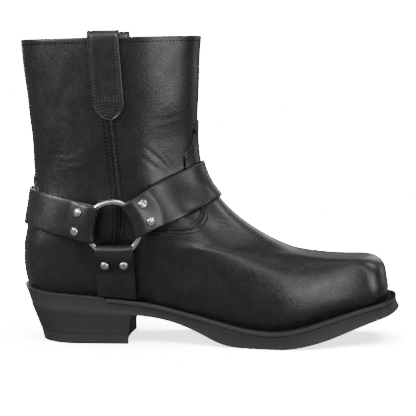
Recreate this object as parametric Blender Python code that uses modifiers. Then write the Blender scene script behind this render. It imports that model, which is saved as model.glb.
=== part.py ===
"""Harness boot, right foot: a square-toed black leather boot with a ring on each side.

The boot stands on its sole with the toe to +X, the outer side to -Y and up to +Z.
The upper is one hollow wall, worked out as a stack of rings from the sole to the collar.
Everything that lies on the upper is worked out from the same rings.
All sizes are in metres.
"""
import bpy
import bmesh
import numpy as np
from math import cos, pi, radians, sin, sqrt
from mathutils import Matrix, Vector

# Driving dimensions
SOLE_LENGTH = 0.315
BALL_WIDTH = 0.104
UPPER_RISE = 0.210
HEEL_SEAT = 0.0455
UPPER_WALL = 0.0024
OVERLAY_THICKNESS = 0.0012
WELT_THICKNESS = 0.0036
WELT_WIDTH = 0.012
LIFT_THICKNESS = 0.008
INSOLE_THICKNESS = 0.003
INSOLE_GAP = 0.0008
FRONT_STRAP_WIDTH = 0.0355
REAR_STRAP_WIDTH = 0.031
BOTTOM_STRAP_WIDTH = 0.033
LOOP_WIDTH = 0.027
STRAP_THICKNESS = 0.0024
RING_DIAMETER = 0.049
RING_WIRE = 0.0048
RING_HEIGHT = 0.0994
RIVET_DIAMETER = 0.0082
RIVET_HEIGHT = 0.0024
RIVET_REACH = 0.0303
RIVET_SPREAD = 0.0156
FOLD_REACH = 0.040
STRAP_FOOT_GAP = 0.0034
WIDENING = 0.011
PULL_WIDTH = 0.0265
PULL_LENGTH = 0.0658
PULL_DRIFT = 0.0048
PULL_RISE = 0.0059
PULL_THICKNESS = 0.0024
PULL_INSIDE = 0.031
SEAM_WIDTH = 0.0042
SEAM_THICKNESS = 0.0009
SEAM_LEAN = 0.10

# Clearances
GAP = 0.0003
STRAP_GAP = 0.0009
RIVET_GAP = 0.0003

# The frame's origin is under the middle of the boot's box, a little behind the sole's middle
FRAME_SHIFT = 0.0019

# Angles of the harness straps in side view, and the place of the ring along the sole
FRONT_STRAP_RISE = radians(25.5)
REAR_STRAP_RISE = radians(10.5)
BOTTOM_STRAP_LEAN = radians(1.2)
RING_PLACE = -0.2520
SEAM_PLACE = -0.266

# Outline of the sole in plan. Shares along the sole, and half-widths as shares of the ball width
SOLE_STATIONS = (0.00, 0.12, 0.40, 0.54, 0.70, 0.92, 1.00)
SOLE_WIDTHS = (0.325, 0.325, 0.345, 0.420, 0.500, 0.335, 0.310)
SOLE_BACK_ROUND = 0.115
SOLE_FRONT_ROUND = 0.050
SEAT_BACK = -0.5110
SEAT_UNDER_BACK = -0.4925
SOLE_FRONT = 0.4925
SOLE_FRONT_UNDER = 0.5010
WELT_END = -0.2790
HEEL_BREAST = -0.2130
LIFT_BREAST = -0.2190
LIFT_BACK = -0.4600
BLOCK_FOOT_BACK = -0.4670
BREAST_HOLLOW = 0.0030
END_POWER = 2.2

# Heights along the sole. Places are shares of its length, and heights shares of the heel seat
TOP_PLACES = (-0.512, -0.485, -0.445, -0.371, -0.276, -0.165, -0.032,
              0.111, 0.159, 0.210, 0.308, 0.410, 0.463, 0.500)
TOP_HEIGHTS = (1.024, 0.984, 0.946, 0.906, 0.847, 0.760, 0.558,
               0.344, 0.323, 0.352, 0.520, 0.716, 0.814, 0.880)
UNDER_PLACES = (-0.510, -0.350, -0.208, -0.124, -0.060, -0.025, 0.006, 0.038, 0.070, 0.095,
                0.205, 0.260, 0.308, 0.359, 0.410, 0.451, 0.500)
UNDER_HEIGHTS = (0.650, 0.590, 0.538, 0.459, 0.325, 0.220, 0.115, 0.038, 0.007, 0.000,
                 0.012, 0.072, 0.156, 0.276, 0.402, 0.505, 0.640)

# Sideways curve of the right foot, as shares of the ball width towards the inner side
CURVE_PLACES = (-0.51, -0.11, 0.18, 0.34, 0.50)
CURVE_SHIFTS = (0.006, 0.000, -0.004, 0.010, 0.040)

# Rings of the upper, from the sole to the collar. Places are shares of the sole's length, rises
# shares of the upper's rise, half-widths shares of the ball width, round ends shares of the length
RING_COLUMNS = ("back", "back_rise", "front", "front_rise", "follow",
                "heel", "waist", "ball", "toe", "back_round", "front_round")
RINGS = (
    (-0.4950, 0.000, 0.4656, 0.000, 1.00, 0.274, 0.293, 0.413, 0.274, 0.102, 0.050),
    (-0.5030, 0.039, 0.4665, 0.043, 0.92, 0.298, 0.317, 0.438, 0.293, 0.102, 0.052),
    (-0.5070, 0.087, 0.4620, 0.088, 0.85, 0.308, 0.332, 0.442, 0.288, 0.102, 0.054),
    (-0.5070, 0.135, 0.4550, 0.133, 0.70, 0.312, 0.339, 0.431, 0.269, 0.102, 0.058),
    (-0.5060, 0.173, 0.4310, 0.170, 0.55, 0.315, 0.346, 0.409, 0.245, 0.102, 0.066),
    (-0.5020, 0.204, 0.3760, 0.195, 0.29, 0.317, 0.354, 0.375, 0.220, 0.105, 0.085),
    (-0.4990, 0.232, 0.3110, 0.227, 0.10, 0.317, 0.356, 0.356, 0.212, 0.110, 0.110),
    (-0.4950, 0.261, 0.2540, 0.262, 0.04, 0.319, 0.358, 0.337, 0.205, 0.115, 0.125),
    (-0.4920, 0.290, 0.1970, 0.305, 0.00, 0.320, 0.358, 0.327, 0.200, 0.120, 0.135),
    (-0.4850, 0.352, 0.0920, 0.387, 0.00, 0.322, 0.356, 0.322, 0.200, 0.135, 0.150),
    (-0.4810, 0.415, 0.0190, 0.459, 0.00, 0.322, 0.356, 0.327, 0.221, 0.155, 0.165),
    (-0.4830, 0.486, -0.0285, 0.550, 0.00, 0.327, 0.356, 0.341, 0.260, 0.175, 0.180),
    (-0.4865, 0.590, -0.0435, 0.677, 0.00, 0.346, 0.365, 0.356, 0.308, 0.195, 0.195),
    (-0.4960, 0.720, -0.0390, 0.826, 0.00, 0.365, 0.380, 0.370, 0.346, 0.210, 0.205),
    (-0.5095, 0.881, -0.0355, 1.002, 0.00, 0.385, 0.394, 0.385, 0.365, 0.225, 0.215),
    (-0.5145, 0.975, -0.0327, 1.092, 0.00, 0.389, 0.399, 0.389, 0.370, 0.225, 0.220),
)
RING_STATIONS = (0.0, 0.12, 0.40, 0.70, 0.92, 1.0)

# Cut edges in side view: places as shares of the sole's length, rises of the upper's rise
VAMP_EDGE = ((-0.245, -0.10), (-0.245, 0.20), (-0.244, 0.345), (-0.215, 0.353), (-0.155, 0.352),
             (-0.078, 0.350), (-0.051, 0.364), (-0.033, 0.393), (-0.028, 0.424), (-0.035, 0.493),
             (-0.050, 0.548), (-0.064, 0.576), (-0.074, 0.608), (-0.072, 0.640), (-0.058, 0.668),
             (-0.051, 0.710), (-0.048, 0.743), (-0.034, 0.772), (0.030, 0.790))
COUNTER_EDGE = ((-0.255, -0.10), (-0.255, 0.20), (-0.256, 0.330), (-0.300, 0.360), (-0.380, 0.380),
                (-0.425, 0.400), (-0.446, 0.440), (-0.460, 0.492), (-0.482, 0.545), (-0.560, 0.575))

# How finely each surface is divided
UPPER_AROUND = 34
UPPER_LEVELS = (0.0, 0.007, 0.035, 0.075, 0.12, 0.165, 0.21, 0.255, 0.30, 0.345, 0.39, 0.435, 0.475,
                0.515, 0.545, 0.575, 0.605, 0.635, 0.665, 0.695, 0.73, 0.775, 0.83, 0.89, 0.945, 1.0)
DENSE_AROUND = 240
DENSE_LEVELS = 150
STRAP_ROWS = 4
RIVET_SIDES = 10


def along(share):
    """Place along the sole's length, in the frame."""
    return np.asarray(share) * SOLE_LENGTH + FRAME_SHIFT


def through(stations, values, at):
    """Smooth curve through the values at the stations, with each slope taken from its neighbours."""
    x = np.asarray(stations, float)
    y = np.asarray(values, float)
    at = np.clip(at, x[0], x[-1])
    step = np.diff(x)
    rise = np.diff(y, axis=-1) / step
    inner = (rise[..., :-1] * step[1:] + rise[..., 1:] * step[:-1]) / (step[:-1] + step[1:])
    slope = np.concatenate([rise[..., :1], inner, rise[..., -1:]], axis=-1)
    i = np.clip(np.searchsorted(x, at, side="right") - 1, 0, len(step) - 1)
    t = (at - x[i]) / step[i]
    h = step[i]
    return ((2 * t**3 - 3 * t**2 + 1) * y[..., i] + (t**3 - 2 * t**2 + t) * h * slope[..., i]
            + (3 * t**2 - 2 * t**3) * y[..., i + 1] + (t**3 - t**2) * h * slope[..., i + 1])


def ease(t):
    """Smooth step from 0 to 1."""
    t = np.clip(t, 0.0, 1.0)
    return t * t * (3.0 - 2.0 * t)


SPAN = along(np.linspace(-0.55, 0.55, 441))


def top_height(x):
    """Height of the welt's upper face, which carries the upper."""
    return through(along(TOP_PLACES), np.asarray(TOP_HEIGHTS) * HEEL_SEAT, x)


def under_height(x):
    """Height of the outsole's tread, and over the heel of its flat seat."""
    return np.maximum(through(along(UNDER_PLACES), np.asarray(UNDER_HEIGHTS) * HEEL_SEAT, x), 0.0)


def middle(x):
    """Sideways place of the foot's centre line."""
    return through(along(CURVE_PLACES), np.asarray(CURVE_SHIFTS) * BALL_WIDTH, x)


def closing(distance, length):
    """Share of the full width at a distance from a round end of the given length."""
    t = 1.0 - np.clip(distance / length, 0.0, 1.0)
    return (1.0 - t**END_POWER) ** (1.0 / END_POWER)


def sole_half_width(x, back, front):
    """Half-width of the sole's outline at x, closed at the back and front."""
    share = (x - back) / (front - back)
    wide = through(SOLE_STATIONS, np.asarray(SOLE_WIDTHS) * BALL_WIDTH, share)
    wide = wide * closing(x - back, SOLE_BACK_ROUND * SOLE_LENGTH)
    return wide * closing(front - x, SOLE_FRONT_ROUND * SOLE_LENGTH)


def ring_points(levels, around):
    """Rings of the upper at levels 0 to 1, each from the back round the outer side and home again.

    Each half of a ring runs from its back point to its front point; its half-width is a smooth
    curve through the table's widths, closed at both ends, and its height follows the sole's top
    by the share in the table. The points are then spread evenly along the half.
    """
    table = np.asarray(RINGS)
    rows = np.linspace(0.0, 1.0, len(table))
    col = {name: through(rows, table[:, k], levels)[:, None] for k, name in enumerate(RING_COLUMNS)}
    share = (1.0 - np.cos(np.linspace(0.0, pi, 161))) / 2.0
    back = along(col["back"])
    front = along(col["front"])
    x = back + (front - back) * share
    widths = np.concatenate([col[name] for name in ("heel", "heel", "waist", "ball", "toe", "toe")], axis=1)
    wide = through(RING_STATIONS, widths * BALL_WIDTH, share)
    sole = through(SOLE_STATIONS, SOLE_WIDTHS, share)
    coarse = through(RING_STATIONS, through(SOLE_STATIONS, SOLE_WIDTHS, RING_STATIONS), share)
    wide = wide + col["follow"] * (sole - coarse) * BALL_WIDTH
    half = wide * closing(x - back, col["back_round"] * SOLE_LENGTH)
    half = half * closing(front - x, col["front_round"] * SOLE_LENGTH)
    low = top_height(back) + GAP
    high = top_height(front) + GAP
    chord = low + (high - low) * share
    z = (chord + (col["back_rise"] + (col["front_rise"] - col["back_rise"]) * share) * UPPER_RISE
         + col["follow"] * (top_height(x) + GAP - chord))
    rings = []
    for k in range(len(levels)):
        halves = []
        for side in (-1, 1):
            line = np.stack([x[k], middle(x[k]) + side * half[k], z[k]], axis=1)
            run = np.concatenate([[0.0], np.cumsum(np.linalg.norm(np.diff(line, axis=0), axis=1))])
            even = np.linspace(0.0, run[-1], around // 2 + 1)
            halves.append(np.stack([np.interp(even, run, line[:, c]) for c in range(3)], axis=1))
        rings.append(np.concatenate([halves[0], halves[1][-2::-1]]))
    return np.asarray(rings)


DENSE = ring_points(np.linspace(0.0, 1.0, DENSE_LEVELS + 1), DENSE_AROUND)


def outward(grid):
    """Normals of a grid of rings, pointing out of the boot."""
    wrapped = np.concatenate([grid[:, -2:-1], grid, grid[:, 1:2]], axis=1)
    du = (wrapped[:, 2:] - wrapped[:, :-2])
    dv = np.gradient(grid, axis=0)
    normal = np.cross(du, dv)
    return normal / np.linalg.norm(normal, axis=2, keepdims=True)


DENSE_NORMAL = outward(DENSE)


def sample(grid, u, v):
    """Grid value at u (0 to 1 around) and v (0 to 1 up), blended from the four nearest points."""
    a = np.clip(np.asarray(u, float) % 1.0 * DENSE_AROUND, 0, DENSE_AROUND - 1e-9)
    b = np.clip(np.asarray(v, float) * DENSE_LEVELS, 0, DENSE_LEVELS - 1e-9)
    i = np.floor(b).astype(int)
    j = np.floor(a).astype(int)
    s = (b - i)[..., None]
    t = (a - j)[..., None]
    return ((1 - s) * ((1 - t) * grid[i, j] + t * grid[i, j + 1])
            + s * ((1 - t) * grid[i + 1, j] + t * grid[i + 1, j + 1]))


def skin(u, v, lift=0.0):
    """Point on the upper's outer face, lifted off it by a distance."""
    return sample(DENSE, u, v) + sample(DENSE_NORMAL, u, v) * np.asarray(lift)[..., None]


def find_on_side(x, z, side):
    """Surface coordinates of the point on one side of the upper that has the given x and z."""
    x, z = np.broadcast_arrays(np.asarray(x, float), np.asarray(z, float))
    half = DENSE_AROUND // 2
    columns = np.arange(4, half - 3, 4) if side < 0 else np.arange(half + 4, DENSE_AROUND - 3, 4)
    levels = np.arange(0, DENSE_LEVELS + 1, 5)
    coarse = DENSE[levels][:, columns]
    distance = (coarse[..., 0] - x[..., None, None])**2 + (coarse[..., 2] - z[..., None, None])**2
    best = distance.reshape(x.shape + (-1,)).argmin(axis=-1)
    v = levels[best // len(columns)] / DENSE_LEVELS
    u = columns[best % len(columns)] / DENSE_AROUND
    step = 2e-3
    for _ in range(10):
        here = sample(DENSE, u, v)
        du = (sample(DENSE, u + step, v) - sample(DENSE, u - step, v)) / (2 * step)
        dv = (sample(DENSE, u, np.clip(v + step, 0, 1)) - sample(DENSE, u, np.clip(v - step, 0, 1))) / (
            np.clip(v + step, 0, 1) - np.clip(v - step, 0, 1))[..., None]
        ex = x - here[..., 0]
        ez = z - here[..., 2]
        det = du[..., 0] * dv[..., 2] - du[..., 2] * dv[..., 0]
        det = np.where(np.abs(det) < 1e-9, 1e-9, det)
        u = u + np.clip((ex * dv[..., 2] - ez * dv[..., 0]) / det, -0.03, 0.03)
        v = np.clip(v + np.clip((ez * du[..., 0] - ex * du[..., 2]) / det, -0.05, 0.05), 0.0, 1.0)
        low, high = (0.01, 0.49) if side < 0 else (0.51, 0.99)
        u = np.clip(u, low, high)
    return u, v


def crossing(values):
    """Place, in grid steps along the first axis, where each column first turns from minus to plus."""
    turn = (values[:-1] <= 0) & (values[1:] > 0)
    i = turn.argmax(axis=0)
    column = np.arange(values.shape[1])
    before = values[i, column]
    after = values[i + 1, column]
    return i + before / np.where(before == after, 1.0, before - after)


class Ring:
    """One harness ring: its centre, its outward axis and the flat frame that it lies in."""

    def __init__(self, side):
        self.side = side
        self.radius = (RING_DIAMETER - RING_WIRE) / 2
        self.x = float(along(RING_PLACE))
        self.z = RING_HEIGHT
        ways = [strap_way(name) for name in ("front", "rear", "bottom")]
        feet = []
        for way in ways:
            u, v = find_on_side(self.x + way[0] * self.radius, self.z + way[1] * self.radius, side)
            feet.append(skin(u, v))
        normal = np.cross(feet[1] - feet[0], feet[2] - feet[0])
        normal = normal / np.linalg.norm(normal)
        self.axis = normal if normal[1] * side > 0 else -normal
        drop = ((feet[0] - [self.x, 0, self.z]) @ self.axis) / self.axis[1]
        centre = np.array([self.x, drop, self.z])
        angle = np.linspace(0, 2 * pi, 73)
        self.ahead = np.cross([0, 0, 1.0], self.axis) * -1.0
        self.ahead = self.ahead / np.linalg.norm(self.ahead)
        if self.ahead[0] < 0:
            self.ahead = -self.ahead
        self.up = np.cross(self.ahead, self.axis)
        if self.up[2] < 0:
            self.up = -self.up
        wire = centre + self.radius * (np.cos(angle)[:, None] * self.ahead
                                       + np.sin(angle)[:, None] * self.up)
        u, v = find_on_side(wire[:, 0], wire[:, 2], side)
        proud = ((skin(u, v) - wire) @ self.axis).max()
        stand = layer_base() + STRAP_THICKNESS + STRAP_GAP + RING_WIRE / 2
        self.centre = centre + self.axis * (proud + stand)

    def wire_at(self, way, b):
        """Centre of the wire where a strap's line at b across it passes round the ring."""
        ahead, across = self.directions(way)
        reach = np.sqrt(self.radius**2 - b**2)
        return self.centre + ahead * reach + across * b

    def directions(self, way):
        """Flat directions in the ring's own plane, along a strap and across it."""
        ahead = self.ahead * way[0] + self.up * way[1]
        across = self.ahead * -way[1] + self.up * way[0]
        return ahead, across


def strap_way(name):
    """Direction of a harness strap away from the ring, in side view."""
    if name == "front":
        return cos(FRONT_STRAP_RISE), sin(FRONT_STRAP_RISE)
    if name == "rear":
        return -cos(REAR_STRAP_RISE), sin(REAR_STRAP_RISE)
    return sin(BOTTOM_STRAP_LEAN), -cos(BOTTOM_STRAP_LEAN)


def layer_base():
    """Height off the upper of a strap's inner face, clear of the vamp and counter."""
    return GAP + OVERLAY_THICKNESS + STRAP_GAP


def band_line(name, b, side):
    """Line on the upper that a strap's thread at b across it follows, from the ring's middle on.

    It is where the upper meets a slanted plane. Returned are the run along it and the surface
    coordinates. A front or rear strap goes on to the middle of the other side's ring.
    """
    way = strap_way(name)
    x0 = float(along(RING_PLACE))
    across = (-way[1], way[0])
    off = (DENSE[..., 0] - x0) * across[0] + (DENSE[..., 2] - RING_HEIGHT) * across[1] - b
    if name == "bottom":
        half = DENSE_AROUND // 2
        off = off[:, :half + 1] if side < 0 else off[:, half:]
        sign = 1.0 if off[DENSE_LEVELS // 2, -1] > off[DENSE_LEVELS // 2, 0] else -1.0
        place = crossing((sign * off).T)
        u = (place + (0 if side < 0 else half)) / DENSE_AROUND
        v = np.linspace(0.0, 1.0, DENSE_LEVELS + 1)
        u = u[::-1]
        v = v[::-1]
    else:
        sign = 1.0 if across[1] > 0 else -1.0
        v = crossing(sign * off) / DENSE_LEVELS
        u = np.linspace(0.0, 1.0, DENSE_AROUND + 1)
        if name == "rear":
            half = DENSE_AROUND // 2
            u = np.concatenate([u[half:-1] - 1.0, u[:half + 1]])
            v = np.concatenate([v[half:-1], v[:half + 1]])
            u = u[::-1]
            v = v[::-1]
    line = skin(u, v)
    run = np.concatenate([[0.0], np.cumsum(np.linalg.norm(np.diff(line, axis=0), axis=1))])
    ahead = (line[:, 0] - x0) * way[0] + (line[:, 2] - RING_HEIGHT) * way[1]
    turns = np.nonzero((ahead[:-1] <= 0) & (ahead[1:] > 0))[0]
    backs = np.nonzero((ahead[:-1] > 0) & (ahead[1:] <= 0))[0]
    first = turns[0]
    start = np.interp(0.0, [ahead[first], ahead[first + 1]], [run[first], run[first + 1]])
    run = run - start
    length = run[-1]
    if name != "bottom":
        last = backs[-1]
        length = np.interp(0.0, [-ahead[last], -ahead[last + 1]], [run[last], run[last + 1]])
    return run, u, v, length


def strap_points(name, side, rings, b, a, level, lift):
    """Points of a strap's thread at runs a from the ring's middle.

    Near a ring the thread is flat with the ring's plane, over or under the wire by its level
    (+1 or -1); further on it follows the upper. The two are blended over a short run.
    """
    way = strap_way(name)
    run, u, v, length = band_line(name, b, side)
    turn = (RING_WIRE + STRAP_THICKNESS) / 2 + STRAP_GAP
    reach = sqrt(rings[side].radius**2 - b * b)
    near = np.minimum(a, length - a) if name != "bottom" else a
    double = 1.0 - ease((near - FOLD_REACH) / 0.010)
    height = layer_base() + STRAP_THICKNESS / 2
    if level > 0:
        height = height + double * (STRAP_THICKNESS + STRAP_GAP)
    here_u = np.interp(a, run, u)
    here_v = np.interp(a, run, v)
    on_upper = skin(here_u, here_v, height + lift)
    flat = 1.0 - ease((near - reach - 0.002) / 0.014)
    points = on_upper
    for which in ((side,) if name == "bottom" else (side, -side)):
        ring = rings[which]
        ahead, across = ring.directions(way)
        far = a if which == side else length - a
        in_plane = ring.centre + far[:, None] * ahead + across * b + ring.axis * (level * turn + lift)
        mine = np.where(far <= length / 2 if name != "bottom" else far < 1.0, flat, 0.0)[:, None]
        points = points * (1.0 - mine) + in_plane * mine
    return points


def hairpin(name, which, rings, b, outer_first):
    """Turn of a strap's thread round the wire, from the outer layer to the inner one or back."""
    ring = rings[which]
    ahead, _ = ring.directions(strap_way(name))
    turn = (RING_WIRE + STRAP_THICKNESS) / 2 + STRAP_GAP
    angle = np.radians([30, 60, 90, 120, 150])
    if not outer_first:
        angle = angle[::-1]
    wire = ring.wire_at(strap_way(name), b)
    slant = ring.radius / sqrt(ring.radius**2 - b * b)
    return wire + turn * (np.cos(angle)[:, None] * ring.axis - slant * np.sin(angle)[:, None] * ahead)


def strap_width(name):
    """Full width of a harness strap away from its folds."""
    return {"front": FRONT_STRAP_WIDTH, "rear": REAR_STRAP_WIDTH, "bottom": BOTTOM_STRAP_WIDTH}[name]


def strap_rows(name, side, rings, steps):
    """Rows of points for a strap's middle surface, folded round its ring or rings.

    Each row is a thread: the fold's inner layer, the turn round the wire, the outer layer and,
    on a strap between two rings, the same again at the other end. A thread starts out at the
    folds' width and widens to the strap's own.
    """
    two = name != "bottom"
    rows = []
    for share in np.linspace(-1.0, 1.0, STRAP_ROWS):
        narrow = share * LOOP_WIDTH / 2
        broad = share * strap_width(name) / 2
        reach = sqrt(rings[side].radius**2 - narrow**2)
        length = band_line(name, narrow, side)[3]
        long_way = band_line(name, broad, side)[3]
        far = FOLD_REACH + 0.012
        end = length - far if two else length - STRAP_FOOT_GAP
        over = np.concatenate([np.linspace(reach, far, 7)[:-1], np.linspace(far, end, steps),
                               np.linspace(end, length - reach, 7)[1:] if two else []])
        near = np.minimum(over, length - over) if two else over
        spread_out = ease((near - reach) / WIDENING)[:, None]
        outer = (strap_points(name, side, rings, narrow, over, 1, 0.0) * (1.0 - spread_out)
                 + strap_points(name, side, rings, broad, over * (long_way / length), 1, 0.0) * spread_out)
        fold = np.linspace(FOLD_REACH, reach, 5)
        parts = [strap_points(name, side, rings, narrow, fold, -1, 0.0),
                 hairpin(name, side, rings, narrow, False), outer]
        if two:
            parts.append(hairpin(name, -side, rings, narrow, True))
            parts.append(strap_points(name, side, rings, narrow, length - fold[::-1], -1, 0.0))
        rows.append(np.concatenate(parts))
    return np.asarray(rows)


def make_object(name, points, faces, collection, material):
    """New mesh object from arrays, with its faces turned outwards."""
    mesh = bpy.data.meshes.new(name)
    mesh.from_pydata([tuple(p) for p in points], [], faces)
    build = bmesh.new()
    build.from_mesh(mesh)
    bmesh.ops.recalc_face_normals(build, faces=build.faces)
    build.to_mesh(mesh)
    build.free()
    mesh.shade_smooth()
    mesh.set_sharp_from_angle(angle=radians(38))
    item = bpy.data.objects.new(name, mesh)
    if material:
        mesh.materials.append(material)
    collection.objects.link(item)
    return item


def grid_faces(rows, columns, wrap=False, base=0, flip=False):
    """Four-sided faces of a grid of points.

    A grid that is joined round its columns has triangles, so that leather laid on the upper has
    its folds in the same places as the upper.
    """
    faces = []
    for i in range(rows - 1):
        for j in range(columns if wrap else columns - 1):
            k = (j + 1) % columns
            face = (base + i * columns + j, base + i * columns + k,
                    base + (i + 1) * columns + k, base + (i + 1) * columns + j)
            if wrap:
                faces.extend([face[:3], (face[0], face[2], face[3])])
            else:
                faces.append(face[::-1] if flip else face)
    return faces


def block(name, top, under, collection, material):
    """Closed solid between two grids of the same size: top, underside and the rim between them."""
    rows, columns, _ = top.shape
    count = rows * columns
    faces = grid_faces(rows, columns) + grid_faces(rows, columns, base=count, flip=True)
    rim = ([(0, j) for j in range(columns)] + [(i, columns - 1) for i in range(1, rows)]
           + [(rows - 1, j) for j in range(columns - 2, -1, -1)] + [(i, 0) for i in range(rows - 2, 0, -1)])
    loop = [i * columns + j for i, j in rim]
    for a, b in zip(loop, loop[1:] + loop[:1]):
        faces.append((a, a + count, b + count, b))
    points = np.concatenate([top.reshape(-1, 3), under.reshape(-1, 3)])
    return make_object(name, points, faces, collection, material)


def shell(name, grid, thickness, offset, wrap, collection, material):
    """Open surface with a Solidify modifier, which gives it its wall."""
    rows, columns, _ = grid.shape
    item = make_object(name, grid.reshape(-1, 3), grid_faces(rows, columns, wrap), collection, material)
    wall = item.modifiers.new("Wall", "SOLIDIFY")
    wall.thickness = thickness
    wall.offset = offset
    wall.use_even_offset = False
    return item


def paint(name, colour, roughness, metallic=0.0):
    """Principled material with one colour."""
    material = bpy.data.materials.new(name)
    material.use_nodes = True
    shader = material.node_tree.nodes["Principled BSDF"]
    shader.inputs["Base Color"].default_value = (*colour, 1.0)
    shader.inputs["Roughness"].default_value = roughness
    shader.inputs["Metallic"].default_value = metallic
    return material


def upper_levels():
    """Levels of the upper's rings, closest together at the sole and the instep."""
    return np.asarray(UPPER_LEVELS)


def upper_grid(levels, lift):
    """Rings of the upper at the model's own fineness, lifted off its face.

    The points round a ring are closer together at the toe and the heel.
    """
    t = np.arange(UPPER_AROUND) / UPPER_AROUND
    u, v = np.meshgrid(t - 0.4 * np.sin(4 * pi * t) / (4 * pi), levels)
    return skin(u, v, np.full(u.shape, lift))


def overlay(name, edge, top_level, keep_front, collection, cutters, material):
    """Leather laid on the upper: a thin shell from the upper's rings, cut by an upright prism."""
    levels = upper_levels()
    levels = levels[(levels > 0.0) & (levels <= top_level)]
    item = shell(name, upper_grid(levels, GAP), OVERLAY_THICKNESS, 1.0, True, collection, material)
    line = np.asarray(edge)
    places = np.linspace(0.0, 1.0, len(line))
    fine = np.linspace(0.0, 1.0, 3 * (len(line) - 1) + 1)
    x = along(through(places, line[:, 0], fine))
    z = HEEL_SEAT * 0.55 + through(places, line[:, 1], fine) * UPPER_RISE
    end = SOLE_LENGTH if keep_front else -SOLE_LENGTH
    corners = [(end, z[-1]), (end, z[0])]
    outline = list(zip(x, z)) + corners
    count = len(outline)
    points = [(px, side * BALL_WIDTH, pz) for side in (-1, 1) for px, pz in outline]
    faces = [tuple(range(count)), tuple(range(2 * count - 1, count - 1, -1))]
    faces += [(k, (k + 1) % count, count + (k + 1) % count, count + k) for k in range(count)]
    cutter = make_object(name + "_outline", points, faces, cutters, None)
    cutter.hide_render = True
    cutter.display_type = "WIRE"
    cut = item.modifiers.new("Outline", "BOOLEAN")
    cut.operation = "INTERSECT"
    cut.object = cutter
    return item


def sole_grid(places, back, front, height, inset=0.0, rows=2):
    """Grid across the sole at the given places along it, at the height given for each place."""
    half = np.maximum(sole_half_width(places, back, front) - inset, 0.001)
    share = np.linspace(-1.0, 1.0, rows)
    y = middle(places)[:, None] + half[:, None] * share
    x = np.broadcast_to(places[:, None], y.shape)
    z = np.broadcast_to(height[:, None], y.shape)
    return np.stack([x, y, z], axis=2)


def spread(start, end, count):
    """Places from start to end, closer together at both ends."""
    t = np.linspace(0.0, 1.0, count)
    return start + (end - start) * (0.45 * t + 0.55 * (1.0 - np.cos(pi * t)) / 2.0)


def make_outsole(collection, material):
    """Outsole with its heel seat, arch and toe spring; behind the welt's ends its top steps up."""
    tip = 0.00015
    top_places = spread(along(SEAT_BACK) + tip, along(SOLE_FRONT) - tip, 44)
    low_places = spread(along(SEAT_UNDER_BACK) + tip, along(SOLE_FRONT_UNDER) - tip, 44)
    notch = float(along(WELT_END)) - GAP
    near = int(np.abs(top_places - notch).argmin())
    top_places[near] = notch - 0.0004
    top_places[near + 1] = notch
    drop = np.where(top_places < notch - 0.0002, 0.0, WELT_THICKNESS + GAP)
    top = sole_grid(top_places, along(SEAT_BACK), along(SOLE_FRONT), top_height(top_places) - drop)
    under = sole_grid(low_places, along(SEAT_UNDER_BACK), along(SOLE_FRONT_UNDER), under_height(low_places))
    return block("outsole", top, under, collection, material)


def make_welt(collection, material):
    """Welt: a flat strip round the forefoot and waist, from one side of the heel to the other."""
    back = along(SEAT_BACK)
    front = along(SOLE_FRONT)
    count = 27
    share = np.linspace(0.0, 1.0, count)
    lateral = along(WELT_END) + (front - along(WELT_END)) * np.sin(share * pi / 2) ** 1.2
    places = np.concatenate([lateral, lateral[-2::-1]])
    side = np.concatenate([-np.ones(count), np.ones(count - 1)])
    half = sole_half_width(places, back, front) - 0.0004
    outer = np.stack([places, middle(places) + side * half, top_height(places)], axis=1)
    flow = np.gradient(outer[:, :2], axis=0)
    flow = flow / np.linalg.norm(flow, axis=1, keepdims=True)
    inward = np.stack([-flow[:, 1], flow[:, 0]], axis=1)
    shares = np.array([0.0, 0.5, 1.0])
    plan = outer[:, None, :2] + inward[:, None] * (shares * WELT_WIDTH)[None, :, None]
    height = top_height(plan[..., 0])
    top = np.concatenate([plan, height[..., None]], axis=2)
    under = np.concatenate([plan, height[..., None] - WELT_THICKNESS], axis=2)
    return block("welt", top, under, collection, material)


def make_insole(collection, material):
    """Insole inside the upper's wall, resting on the welt and the heel seat."""
    inner = upper_grid(upper_levels()[:2], -UPPER_WALL)
    outer_side = inner[:, :UPPER_AROUND // 2 + 1]
    reach = [np.interp(SPAN, line[:, 0], np.abs(line[:, 1] - middle(line[:, 0]))) for line in outer_side]
    edge = np.minimum(*reach)
    back = inner[:, 0, 0].max() + INSOLE_GAP
    front = inner[:, UPPER_AROUND // 2, 0].min() - INSOLE_GAP
    places = spread(back, front, 26)
    half = np.maximum(np.interp(places, SPAN, edge) - INSOLE_GAP, 0.004)
    y = middle(places)[:, None] + half[:, None] * np.array([-1.0, 1.0])
    x = np.broadcast_to(places[:, None], y.shape)
    low = np.broadcast_to((top_height(places) + GAP)[:, None], y.shape)
    under = np.stack([x, y, low], axis=2)
    top = under + np.array([0.0, 0.0, INSOLE_THICKNESS])
    return block("insole", top, under, collection, material)


def heel_grid(back, breast, height):
    """Grid across the heel from its round back to its hollow breast."""
    share = spread(0.0, 1.0, 13)
    places = back + 0.00015 + (breast - back - 0.00015) * share
    half = sole_half_width(places, back, along(SOLE_FRONT))
    across = np.linspace(-1.0, 1.0, 5)
    y = middle(places)[:, None] + half[:, None] * across
    x = places[:, None] - BREAST_HOLLOW * (share**4)[:, None] * (1.0 - across**2)
    z = height(x)
    return np.stack([x, y, z], axis=2)


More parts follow.
